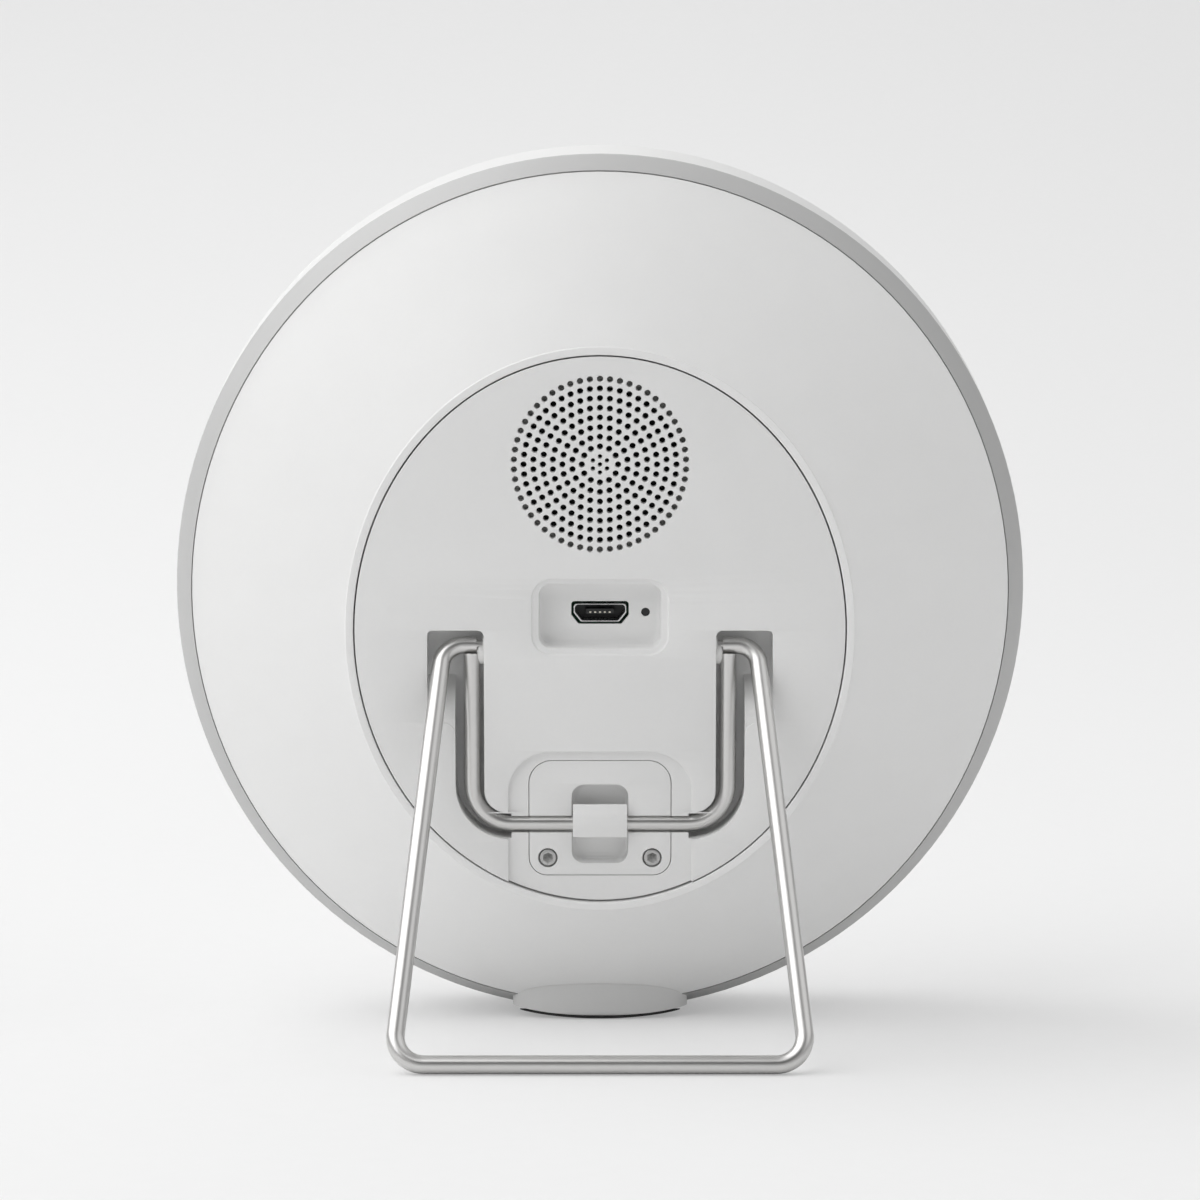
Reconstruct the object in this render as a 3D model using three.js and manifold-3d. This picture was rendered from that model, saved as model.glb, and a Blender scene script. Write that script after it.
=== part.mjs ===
// Wake-up light: a round lamp with a conical back that leans on a folding wire stand.
// Millimetres. In the lamp's own axes x runs to the right seen from behind, y runs through the lamp
// towards its front with zero at the edge of the rear dome, and z runs up along its back.
import * as THREE from 'three';
import { mergeVertices } from 'three/addons/utils/BufferGeometryUtils.js';
import Module from 'manifold-3d';

// Overall form
const clearance = 0.3;
const wall = 2;
const bodyWidth = 140;
const bodyHeight = 143.6;
const leanAngle = 6;
const rimLift = 0.5;

// Front shell, rim band and rear dome
const diffuserDepth = 27;
const diffuserFlare = 1.6;
const diffuserBackInset = 0.2;
const diffuserSquareness = 6;
const bandDepth = 4.6;
const bandRound = 0.4;
const bandThickness = 5.5;
const domeInset = 3;
const domeRise = 14;
const domeFullness = 0.15;
const collarRise = 1.4;
const collarWidth = 1.3;
const collarRound = 0.45;
const ledgeWidth = 3.4;
const ledgeThickness = 1.6;

// Pod cover
const podWidth = 78.8;
const podHeight = 89;
const podCentre = -3.8;
const coverEdgeRound = 0.5;
const coverFloor = 0.6;
const coverSkin = 2;

// Speaker and its grille
const grilleDrop = 17.5;
const grilleRings = 9;
const grilleInnerRings = 2;
const grilleInnerPitch = 1.25;
const grillePitch = 1.56;
const grilleHole = 1;
const grilleEdge = 1.1;
const grilleThickness = 1.6;
const gasketThickness = 1;
const gasketOverlap = 1.3;
const gasketReach = 0.7;
const basketDepth = 6.1;
const basketRim = 1;
const basketWall = 1;
const coneThickness = 0.7;
const coneDepth = 2.5;
const magnetRadius = 8;
const magnetDepth = 4.4;

// Port recess
const recessDrop = 24.7;
const recessWidth = 19.7;
const recessHeight = 10.5;
const recessDepth = 1.8;
const recessDraft = 1.05;
const recessCorner = 2.2;
const portRise = 0.55;
const portWidth = 8.5;
const portHeight = 2.95;
const portCorner = 0.9;
const portWall = 0.35;
const tongueWidth = 4.8;
const tongueThickness = 0.75;
const tongueSink = 0.7;
const pinholeAcross = 7.34;
const pinhole = 1.5;

// Boards, switch and cell
const boardThickness = 1.6;
const boardDrop = 18.2;
const switchSize = 4.6;
const switchHeight = 2.2;
const plungerDiameter = 2;
const plungerLength = 1.5;
const plungerTravel = 0.25;
const cellDiameter = 16;
const cellThickness = 3.2;
const cellAcross = -10;
const cellHeight = -16;

// Wire stand
const standWire = 2.9;
const pivotHeight = -6.4;
const pivotCover = 1.15;
const standReach = 34.4;
const barHalf = 32.2;
const stubBend = 3.4;
const barBend = 4.4;
const pocketGap = 3.8;
const pocketSideRoom = 1.1;
const pocketHeadroom = 0.9;
const pocketRampDrop = 4.7;
const pocketRampRun = 7.6;
const bushFlange = 3.6;
const bushFlangeThickness = 0.65;
const bushShank = 2.9;
const bushLength = 2.4;
const pivotPin = 1.5;

// Detent wire and its channel
const springWire = 2.7;
const springSink = 1.9;
const springSideRoom = 0.7;
const springBarRise = 12.6;
const springBend = 6.3;
const springTopGap = 0.3;
const channelWidth = 4.4;
const channelSink = 0.3;
const legSideRoom = 1.8;

// Clip plate, latch and spring
const archWidth = 29.7;
const archHeight = 24.8;
const archDepth = 0.7;
const archCorner = 6.8;
const clipWidth = 22.8;
const clipMargin = 1.3;
const clipHeight = 19.1;
const clipThickness = 3.6;
const clipCorner = 3.4;
const fingerWidth = 9.06;
const fingerAbove = 4.1;
const fingerBelow = 2.15;
const fingerDepth = 2.5;
const fingerCorner = 2;
const strapWidth = 8.5;
const strapAbove = 3.5;
const strapThickness = 1.1;
const strapRoot = 0.9;
const latchTravel = 2.9;
const latchRootWidth = 6.4;
const latchPostWidth = 3.8;
const latchFlangeWidth = 6.8;
const latchFlangeThickness = 0.9;
const latchFlangeAbove = 2.7;
const latchFlangeBelow = 2.2;
const coilDiameter = 1.5;
const coilWire = 0.3;
const coilLength = 7;
const coilTurns = 5;

// Fasteners
const screwShaft = 1.6;
const screwHead = 2.6;
const screwHeadHeight = 0.9;
const screwHex = 1.3;
const screwHexDepth = 0.5;
const screwBite = 4;
const clipScrewInset = 2.95;
const clipScrewSink = 0.2;
const chassisScrewShaft = 2.2;
const chassisScrewHead = 4;
const chassisScrewHeadHeight = 1.3;
const chassisScrewLength = 8;
const chassisScrewAcross = 36;
const chassisScrewTop = 34;
const chassisScrewBottom = -38;
const bossDiameter = 6.4;

// Light engine
const chassisThickness = 3;
const chassisOpening = 20;
const ledBoardThickness = 1.4;
const ledBoardWidth = 8.5;
const ledCount = 16;
const ledSize = 3.2;
const ledHeight = 0.8;
const reflectorRise = 7;
const reflectorThickness = 1.1;
const postDiameter = 17.4;
const postLength = 22;
const displayWidth = 44;
const displayHeight = 18;
const displayCorner = 3;
const displayThickness = 1.6;

// Foot
const footWidth = 30.8;
const footRear = 4;
const footRound = 7.7;
const footDepth = 4.8;
const footHeight = 9;
const soleThickness = 0.7;
const soleInset = 0.4;

// Fineness of the round faces
const roundSteps = 48;
const outsideRings = 6;
const insideRings = 3;
const turnSteps = 20;
const smallTurnSteps = 10;
const screwSteps = 8;
const cornerSteps = 2;
const wireSides = 4;
const bendStep = THREE.MathUtils.degToRad(16);
const holeSides = 5;
const weldDistance = 1e-4;

// Depths and places that follow from the driving dimensions
const lean = THREE.MathUtils.degToRad(leanAngle);
const faceDepth = -(domeRise + collarRise);
const clipFace = faceDepth + archDepth;
const clipUnder = clipFace + clipThickness;
const clipSeat = clipUnder + clearance;
const coilCentreDepth = clipSeat + coilDiameter / 2;
const coilCavityDepth = clipSeat + coilDiameter + clearance;
const coverBack = coilCavityDepth + coverFloor;
const seatDepth = coverBack + clearance;
const ledgeFront = seatDepth + ledgeThickness;
const collarOuter = clearance + collarWidth;
const pivotDepth = faceDepth + standWire / 2 + pivotCover;
const pocketFloor = pivotDepth + Math.max(standWire, bushFlange) / 2 + clearance;
const pocketInner = archWidth / 2 + pocketGap;
const stubEnd = pocketInner + bushFlangeThickness + 2 * clearance;
const springLeg = pocketInner + springSideRoom + springWire / 2;
const springDepth = faceDepth + springSink;
const springTop = pivotHeight - standWire / 2 - springTopGap;
const legTop = springLeg + springWire / 2 + legSideRoom + standWire / 2;
const channelFloor = springDepth + springWire / 2 + channelSink;
const pocketOuter = legTop + standWire / 2 + pocketSideRoom;
const pocketTop = pivotHeight + bushFlange / 2 + pocketHeadroom;
const podBottom = podCentre - podHeight / 2;
const grilleCentre = podCentre + podHeight / 2 - grilleDrop;
const recessCentre = grilleCentre - recessDrop;
const portCentre = recessCentre + portRise;
const boardTop = grilleCentre - boardDrop;
const archTop = podBottom + archHeight;
const springBar = podBottom + springBarRise;
const clipTop = archTop - clipMargin;
const clipBottom = clipTop - clipHeight;
const clipScrewAcross = clipWidth / 2 - clipScrewInset;
const clipScrewHeight = clipBottom + clipScrewInset;
const fingerTop = clipTop - fingerAbove;
const fingerBottom = clipBottom + fingerBelow;
const strapTop = springBar + strapAbove;
const recessFloor = faceDepth + recessDepth;
const skinBack = recessFloor + coverSkin;
const boardBack = coverBack + clearance;
const chassisBack = 2 * clearance;
const chassisFront = chassisBack + chassisThickness;
const engineDepth = chassisFront + clearance;
const diffuserBack = bandDepth + clearance;

const wasm = await Module();
wasm.setup();

// Turn a closed geometry into a solid, with its faces pointing out.
function solid(geometry) {
  const bare = geometry.clone();
  bare.deleteAttribute('normal');
  bare.deleteAttribute('uv');
  const welded = mergeVertices(bare, weldDistance);
  const corners = welded.attributes.position;
  const triangles = [];
  const points = [new THREE.Vector3(), new THREE.Vector3(), new THREE.Vector3()];
  let volume = 0;
  for (let first = 0; first < welded.index.count; first += 3) {
    const [a, b, c] = [0, 1, 2].map((step) => welded.index.getX(first + step));
    if (a !== b && b !== c && c !== a) {
      triangles.push([a, b, c]);
      [a, b, c].forEach((corner, step) => points[step].fromBufferAttribute(corners, corner));
      volume += points[0].dot(points[1].clone().cross(points[2]));
    }
  }
  const outward = triangles.map(([a, b, c]) => (volume > 0 ? [a, b, c] : [a, c, b]));
  const mesh = new wasm.Mesh({
    numProp: 3,
    vertProperties: new Float32Array(corners.array),
    triVerts: new Uint32Array(outward.flat()),
  });
  return new wasm.Manifold(mesh);
}

function geometryOf(shape) {
  const mesh = shape.getMesh();
  const geometry = new THREE.BufferGeometry();
  geometry.setAttribute('position', new THREE.BufferAttribute(new Float32Array(mesh.vertProperties), 3));
  geometry.setIndex(new THREE.BufferAttribute(new Uint32Array(mesh.triVerts), 1));
  geometry.computeVertexNormals();
  return geometry;
}

// Join or cut a list of geometries with a base geometry.
function cut(base, tools) {
  return tools.reduce((shape, tool) => shape.subtract(solid(tool)), base);
}

function join(base, additions) {
  return additions.reduce((shape, addition) => shape.add(solid(addition)), base);
}

// Ellipses of the rim and of the pod, set in or out by a margin, at a depth in the lamp.
function rimRing(depth, inset) {
  return { depth, across: bodyWidth / 2 - inset, up: bodyHeight / 2 - inset, centre: 0 };
}

function podRing(depth, margin) {
  return { depth, across: podWidth / 2 + margin, up: podHeight / 2 + margin, centre: podCentre };
}

function blendRings(from, to, share, depth) {
  return {
    depth,
    across: THREE.MathUtils.lerp(from.across, to.across, share),
    up: THREE.MathUtils.lerp(from.up, to.up, share),
    centre: THREE.MathUtils.lerp(from.centre, to.centre, share),
  };
}

// Skin a row of ellipses. A closed row joins its last ring to its first, an open one is capped.
function loft(rings, closed) {
  const positions = [];
  for (const ring of rings) {
    for (let step = 0; step < roundSteps; step += 1) {
      const angle = (2 * Math.PI * step) / roundSteps;
      positions.push(ring.across * Math.cos(angle), ring.depth, ring.centre + ring.up * Math.sin(angle));
    }
  }
  const index = [];
  const bands = closed ? rings.length : rings.length - 1;
  for (let band = 0; band < bands; band += 1) {
    const here = band * roundSteps;
    const there = ((band + 1) % rings.length) * roundSteps;
    for (let step = 0; step < roundSteps; step += 1) {
      const next = (step + 1) % roundSteps;
      index.push(here + step, there + step, here + next);
      index.push(here + next, there + step, there + next);
    }
  }
  if (!closed) {
    const lastRing = (rings.length - 1) * roundSteps;
    for (let step = 1; step < roundSteps - 1; step += 1) {
      index.push(0, step, step + 1);
      index.push(lastRing, lastRing + step + 1, lastRing + step);
    }
  }
  const geometry = new THREE.BufferGeometry();
  geometry.setAttribute('position', new THREE.Float32BufferAttribute(positions, 3));
  geometry.setIndex(index);
  return geometry;
}

// A turned shape about a line along y. The profile holds radius and depth pairs.
function turned(profile, steps = turnSteps) {
  const points = profile.map(([radius, depth]) => new THREE.Vector2(radius, depth));
  return new THREE.LatheGeometry(points, steps);
}

function disc(diameter, from, to, steps = turnSteps) {
  const radius = diameter / 2;
  return turned([[0, from], [radius, from], [radius, to], [0, to]], steps);
}

// An outline in x and z, extruded along y.
function slab(outline, from, to) {
  const settings = { depth: to - from, bevelEnabled: false, curveSegments: cornerSteps };
  const geometry = new THREE.ExtrudeGeometry(outline, settings);
  geometry.rotateX(Math.PI / 2);
  geometry.translate(0, to, 0);
  return geometry;
}

// An outline in y and z, extruded along x.
function crossSlab(outline, from, to) {
  const settings = { depth: to - from, bevelEnabled: false, curveSegments: cornerSteps };
  const geometry = new THREE.ExtrudeGeometry(outline, settings);
  const alongX = new THREE.Matrix4().makeBasis(
    new THREE.Vector3(0, 1, 0),
    new THREE.Vector3(0, 0, 1),
    new THREE.Vector3(1, 0, 0),
  );
  geometry.applyMatrix4(alongX);
  geometry.translate(from, 0, 0);
  return geometry;
}

function polygon(points) {
  return new THREE.Shape(points.map(([first, second]) => new THREE.Vector2(first, second)));
}

function roundedRectangle(left, right, bottom, top, corner) {
  const quarter = Math.PI / 2;
  const outline = new THREE.Shape();
  outline.absarc(right - corner, bottom + corner, corner, -quarter, 0, false);
  outline.absarc(right - corner, top - corner, corner, 0, quarter, false);
  outline.absarc(left + corner, top - corner, corner, quarter, 2 * quarter, false);
  outline.absarc(left + corner, bottom + corner, corner, 2 * quarter, 3 * quarter, false);
  return outline;
}

function rectangle(left, right, bottom, top) {
  return polygon([[left, bottom], [right, bottom], [right, top], [left, top]]);
}

function centredBlock(width, height, centre) {
  return rectangle(-width / 2, width / 2, centre - height / 2, centre + height / 2);
}

function centredRectangle(width, height, centre, corner) {
  return roundedRectangle(-width / 2, width / 2, centre - height / 2, centre + height / 2, corner);
}

function moved(geometry, x, y, z) {
  return geometry.clone().translate(x, y, z);
}

function mirrored(geometry) {
  return geometry.clone().scale(-1, 1, 1);
}

function bothSides(geometry) {
  return [geometry, mirrored(geometry)];
}

// A wire path of straight runs and bends. Each straight run takes one step and each bend several.
class BentPath extends THREE.Curve {
  constructor(corners) {
    super();
    this.steps = [];
    let start = corners[0].point;
    for (let place = 1; place < corners.length - 1; place += 1) {
      const { point, bend } = corners[place];
      const incoming = point.clone().sub(corners[place - 1].point).normalize();
      const outgoing = corners[place + 1].point.clone().sub(point).normalize();
      const turn = incoming.angleTo(outgoing);
      const reach = bend * Math.tan(turn / 2);
      const pull = (bend * Math.tan(turn / 4) * 4) / 3;
      const entry = point.clone().addScaledVector(incoming, -reach);
      const exit = point.clone().addScaledVector(outgoing, reach);
      const entryPull = entry.clone().addScaledVector(incoming, pull);
      const exitPull = exit.clone().addScaledVector(outgoing, -pull);
      const arc = new THREE.CubicBezierCurve3(entry, entryPull, exitPull, exit);
      this.addSteps(new THREE.LineCurve3(start, entry), 1);
      this.addSteps(arc, Math.max(2, Math.round(turn / bendStep)));
      start = exit;
    }
    this.addSteps(new THREE.LineCurve3(start, corners[corners.length - 1].point), 1);
  }

  addSteps(curve, count) {
    for (let step = 0; step < count; step += 1) {
      this.steps.push({ curve, from: step / count, to: (step + 1) / count });
    }
  }

  getPoint(share) {
    const place = share * this.steps.length;
    const step = Math.min(Math.floor(place), this.steps.length - 1);
    const { curve, from, to } = this.steps[step];
    return curve.getPoint(THREE.MathUtils.lerp(from, to, place - step));
  }

  getUtoTmapping(share) {
    return share;
  }
}

function wireAlong(path, diameter) {
  const section = new THREE.Shape();
  section.absarc(0, 0, diameter / 2, 0, 2 * Math.PI, false);
  const settings = { steps: path.steps.length, extrudePath: path, curveSegments: wireSides };
  return new THREE.ExtrudeGeometry(section, settings);
}

// Screw with its head towards negative y and a hexagon socket in the head.
function screwShape({ shaft, head, headHeight, length, socket }) {
  const profile = [
    [0, 0],
    [head / 2, 0],
    [head / 2, headHeight],
    [shaft / 2, headHeight],
    [shaft / 2, headHeight + length],
    [0, headHeight + length],
  ];
  const hexagon = disc(socket, -screwHexDepth, screwHexDepth, 6);
  return cut(solid(turned(profile, screwSteps)), [hexagon]);
}

const finishes = {
  opal: { color: 0xf2f1ee, roughness: 0.45, metalness: 0 },
  white: { color: 0xe9e9e7, roughness: 0.42, metalness: 0 },
  cover: { color: 0xd5d5d3, roughness: 0.5, metalness: 0 },
  band: { color: 0xb6b7b8, roughness: 0.45, metalness: 0 },
  steel: { color: 0xb9b6b0, roughness: 0.22, metalness: 1 },
  black: { color: 0x1b1b1c, roughness: 0.6, metalness: 0 },
  board: { color: 0x23513a, roughness: 0.55, metalness: 0 },
  foam: { color: 0x9a9a98, roughness: 0.9, metalness: 0 },
  rubber: { color: 0x2b2b2c, roughness: 0.85, metalness: 0 },
};

const lamp = new THREE.Group();
const assembly = new THREE.Group();
const wakeUpLight = new THREE.Group();
assembly.add(lamp);
wakeUpLight.add(assembly);

function addPiece(name, shape, finish, parent = lamp) {
  const mesh = new THREE.Mesh(geometryOf(shape), new THREE.MeshStandardMaterial(finishes[finish]));
  mesh.name = name;
  parent.add(mesh);
  return mesh;
}

// Front shell: a bowl whose side flares a little and whose front edge is a squared ellipse.
function diffuserRings(inset, depth, ringCount) {
  const lastAngle = THREE.MathUtils.degToRad(80);
  const power = 2 / diffuserSquareness;
  const rings = [];
  for (let step = 0; step <= ringCount; step += 1) {
    const angle = (lastAngle * step) / ringCount;
    const forward = Math.sin(angle) ** power;
    const narrow = Math.cos(angle) ** power;
    const side = rimRing(diffuserBack + depth * forward, inset - diffuserFlare * forward);
    rings.push({ ...side, across: side.across * narrow, up: side.up * narrow });
  }
  return rings;
}

function buildDiffuser() {
  const outside = diffuserRings(diffuserBackInset, diffuserDepth, outsideRings);
  const inside = diffuserRings(diffuserBackInset + wall, diffuserDepth - wall, insideRings);
  addPiece('front_diffuser', solid(loft([...outside.reverse(), ...inside], false)), 'opal');
}

// Bevelled ring between the front shell and the dome, with a ledge under the dome's edge.
function bandOutsideRings(margin) {
  return [
    rimRing(0, domeInset - clearance - margin),
    rimRing(bandDepth - 2 * bandRound, bandRound / 2 - margin),
    rimRing(bandDepth - bandRound, -margin),
    rimRing(bandDepth, bandRound / 2 - margin),
  ];
}

function buildBand() {
  const inside = [
    rimRing(bandDepth, bandThickness),
    rimRing(clearance, bandThickness),
    rimRing(clearance, domeInset - clearance),
  ];
  addPiece('rim_band', solid(loft([...bandOutsideRings(0), ...inside], true)), 'band');
}

// Rear dome: lofted from the round rim to the oval collar that holds the pod cover.
function domeRings(shift, ringCount) {
  const rings = [];
  for (let step = 0; step <= ringCount; step += 1) {
    const share = step / ringCount;
    const rise = domeRise * (share + domeFullness * share * (1 - share));
    const outer = podRing(0, collarOuter);
    rings.push(blendRings(rimRing(0, domeInset), outer, share, shift - rise));
  }
  return rings;
}

function chassisScrewPlaces() {
  const places = [];
  for (const height of [chassisScrewTop, chassisScrewBottom]) {
    for (const side of [-1, 1]) {
      places.push([side * chassisScrewAcross, height]);
    }
  }
  return places;
}

function coverScrewPlaces() {
  const ring = podRing(0, -ledgeWidth / 2);
  const diagonal = Math.SQRT1_2;
  const places = [];
  for (const vertical of [1, -1]) {
    for (const side of [-1, 1]) {
      places.push([side * ring.across * diagonal, ring.centre + vertical * ring.up * diagonal]);
    }
  }
  return places;
}

function buildDome() {
  const slope = Math.hypot(1, domeRise / ((bodyWidth - podWidth) / 2 - domeInset));
  const outside = domeRings(0, outsideRings);
  const collar = [
    podRing(faceDepth + collarRound, collarOuter - collarRound / 3),
    podRing(faceDepth, collarOuter - collarRound),
    podRing(faceDepth, clearance),
    podRing(seatDepth, clearance),
    podRing(seatDepth, -ledgeWidth),
    podRing(ledgeFront, -ledgeWidth),
    podRing(ledgeFront, clearance + wall),
    podRing(wall * slope - domeRise, clearance + wall + collarWidth / 2),
  ];
  const inside = domeRings(wall * slope, insideRings).slice(1, -1).reverse();
  const rim = rimRing(0, domeInset + wall);
  const shell = solid(loft([...outside, ...collar, ...inside, rim], true));
  const filled = solid(loft(outside, false));
  const bosses = chassisScrewPlaces().map(([x, z]) => {
    const post = moved(disc(bossDiameter, -domeRise, 0, smallTurnSteps), x, 0, z);
    return solid(post).intersect(filled);
  });
  const joined = bosses.reduce((shape, boss) => shape.add(boss), shell);
  const pilot = chassisScrewShaft + 2 * clearance;
  const pilotDepth = chassisFront - chassisScrewLength - clearance;
  const pilots = chassisScrewPlaces().map(([x, z]) => (
    moved(disc(pilot, pilotDepth, chassisBack, smallTurnSteps), x, 0, z)
  ));
  const ledgeHoles = coverScrewPlaces().map(([x, z]) => (
    moved(disc(screwShaft + 2 * clearance, coverBack, engineDepth, smallTurnSteps), x, 0, z)
  ));
  addPiece('rear_dome', cut(joined, [...pilots, ...ledgeHoles]), 'white');
}

// Grille pattern: one centre hole and rings whose hole count grows by six.
function grilleRingRadius(ring) {
  const inner = Math.min(ring, grilleInnerRings);
  return inner * grilleInnerPitch + (ring - inner) * grillePitch;
}

const grilleRadius = grilleRingRadius(grilleRings) + grilleHole / 2 + grilleEdge;
const gasketRadius = grilleRadius + gasketOverlap;
const speakerBore = 2 * (gasketRadius + clearance);

function buildGrille() {
  const outline = new THREE.Shape();
  outline.absarc(0, grilleCentre, grilleRadius, 0, 2 * Math.PI, false);
  for (let ring = 0; ring <= grilleRings; ring += 1) {
    const count = Math.max(1, 6 * ring);
    for (let place = 0; place < count; place += 1) {
      const angle = Math.PI / 2 + (2 * Math.PI * place) / count;
      const x = grilleRingRadius(ring) * Math.cos(angle);
      const z = grilleCentre + grilleRingRadius(ring) * Math.sin(angle);
      const corners = [];
      for (let corner = 0; corner < holeSides; corner += 1) {
        const turn = angle + (2 * Math.PI * corner) / holeSides;
        corners.push(new THREE.Vector2(
          x + (grilleHole / 2) * Math.cos(turn),
          z + (grilleHole / 2) * Math.sin(turn),
        ));
      }
      outline.holes.push(new THREE.Path(corners));
    }
  }
  const settings = { depth: grilleThickness, bevelEnabled: false, curveSegments: turnSteps / 2 };
  const plate = new THREE.ExtrudeGeometry(outline, settings);
  plate.rotateX(Math.PI / 2);
  plate.translate(0, faceDepth + grilleThickness, 0);
  addPiece('speaker_grille', solid(plate), 'cover');
}

// Speaker: gasket behind the outer holes, basket, cone and magnet on one axis.
function buildSpeaker() {
  const gasketBack = faceDepth + grilleThickness + clearance;
  const gasketFront = gasketBack + gasketThickness;
  const gasketInner = grilleRingRadius(grilleRings) - gasketReach;
  const gasket = turned([
    [gasketInner, gasketBack],
    [gasketRadius, gasketBack],
    [gasketRadius, gasketFront],
    [gasketInner, gasketFront],
    [gasketInner, gasketBack],
  ]);
  const basketBack = gasketFront + clearance;
  const basketFront = basketBack + basketDepth;
  const basketInner = gasketInner + clearance;
  const neck = magnetRadius + basketWall;
  const basket = turned([
    [0, basketFront],
    [neck, basketFront],
    [basketInner + basketWall, basketBack + basketRim],
    [gasketRadius, basketBack + basketRim],
    [gasketRadius, basketBack],
    [basketInner, basketBack],
    [basketInner, basketBack + basketRim / 2],
    [neck - basketWall, basketFront - basketWall],
    [0, basketFront - basketWall],
  ]);
  const coneRim = basketInner - clearance;
  const dustCap = coneRim / 3;
  const coneBottom = basketBack + coneDepth;
  const cone = turned([
    [0, coneBottom - coneThickness],
    [dustCap, coneBottom],
    [coneRim, basketBack],
    [coneRim, basketBack + coneThickness],
    [dustCap, coneBottom + coneThickness],
    [0, coneBottom],
  ]);
  const magnetBack = basketFront + clearance;
  const magnet = turned([
    [0, magnetBack],
    [magnetRadius, magnetBack],
    [magnetRadius, magnetBack + magnetDepth * 0.8],
    [magnetRadius * 0.85, magnetBack + magnetDepth],
    [0, magnetBack + magnetDepth],
  ]);
  addPiece('speaker_gasket', solid(moved(gasket, 0, 0, grilleCentre)), 'foam');
  addPiece('speaker_basket', solid(moved(basket, 0, 0, grilleCentre)), 'black');
  addPiece('speaker_cone', solid(moved(cone, 0, 0, grilleCentre)), 'black');
  addPiece('speaker_magnet', solid(moved(magnet, 0, 0, grilleCentre)), 'steel');
}

// Port outline: flat on top, with its lower corners cut away.
function portOutline(margin) {
  const half = portWidth / 2 + margin;
  const top = portCentre + portHeight / 2 + margin;
  const bottom = portCentre - portHeight / 2 - margin;
  return polygon([
    [-half, top],
    [-half, bottom + portCorner],
    [-half + portCorner, bottom],
    [half - portCorner, bottom],
    [half, bottom + portCorner],
    [half, top],
  ]);
}

// Cuts of the pod cover, each as a tool a little longer than the cut.
const overrun = 1;

function portTools() {
  const settings = {
    depth: overrun,
    bevelEnabled: true,
    bevelThickness: recessDepth,
    bevelSize: recessDraft,
    bevelSegments: 1,
    curveSegments: cornerSteps,
  };
  const floor = centredRectangle(recessWidth, recessHeight, recessCentre, recessCorner);
  const dish = new THREE.ExtrudeGeometry(floor, settings);
  dish.rotateX(Math.PI / 2);
  dish.translate(0, faceDepth, 0);
  const chamber = centredRectangle(recessWidth + wall, recessHeight + wall, recessCentre, recessCorner);
  const pin = disc(pinhole, faceDepth, skinBack + overrun, smallTurnSteps);
  return [
    dish,
    slab(portOutline(clearance), recessFloor - overrun, skinBack + overrun),
    slab(chamber, skinBack, coverBack + overrun),
    moved(pin, pinholeAcross, 0, portCentre),
  ];
}

function speakerTools() {
  const opening = disc(2 * (grilleRadius + clearance), faceDepth - overrun, coverBack);
  const bore = disc(speakerBore, faceDepth + grilleThickness, coverBack + overrun);
  return [moved(opening, 0, 0, grilleCentre), moved(bore, 0, 0, grilleCentre)];
}

// Pocket for the stand's bend: a flat floor under the pivot, then a ramp up to the face.
function pocketTools() {
  const rampStart = pivotHeight - pocketRampDrop;
  const rampEnd = rampStart - pocketRampRun;
  const rampSlope = (pocketFloor - faceDepth) / pocketRampRun;
  const side = polygon([
    [faceDepth - overrun, pocketTop],
    [pocketFloor, pocketTop],
    [pocketFloor, rampStart],
    [faceDepth - overrun, rampEnd - overrun / rampSlope],
  ]);
  const bushBore = disc(bushShank + 2 * clearance, -bushLength - clearance, overrun, smallTurnSteps);
  bushBore.rotateZ(-Math.PI / 2);
  bushBore.translate(pocketInner, pivotDepth, pivotHeight);
  return [...bothSides(crossSlab(side, pocketInner, pocketOuter)), ...bothSides(bushBore)];
}

// Channel of the detent wire: down from the pocket, round a bend and in to the clip.
function channelTools() {
  const inner = pocketInner;
  const outer = inner + channelWidth;
  const upper = springBar + channelWidth / 2;
  const lower = springBar - channelWidth / 2;
  const innerBend = springBend - channelWidth / 2;
  const outerBend = springBend + channelWidth / 2;
  const end = archWidth / 2 - overrun;
  const outline = new THREE.Shape();
  outline.moveTo(inner, pivotHeight);
  outline.lineTo(inner, upper + innerBend);
  outline.absarc(inner - innerBend, upper + innerBend, innerBend, 0, -Math.PI / 2, true);
  outline.lineTo(end, upper);
  outline.lineTo(end, lower);
  outline.absarc(outer - outerBend, lower + outerBend, outerBend, -Math.PI / 2, 0, false);
  outline.lineTo(outer, pivotHeight);
  const slot = centredBlock(archWidth, springWire + 2 * clearance, springBar);
  return [
    ...bothSides(slab(outline, faceDepth - overrun, channelFloor)),
    slab(slot, faceDepth - overrun, channelFloor),
  ];
}

// Heights of the latch's parts, from the bar that it holds.
const strapRootTop = springBar - springWire / 2 - clearance;
const strapBottom = strapRootTop - strapRoot;
const flangeTop = strapRootTop + latchFlangeAbove;
const flangeBottom = strapBottom - latchFlangeBelow;
const coilBottom = flangeTop + clearance;
const coilTop = coilBottom + coilLength;

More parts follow.
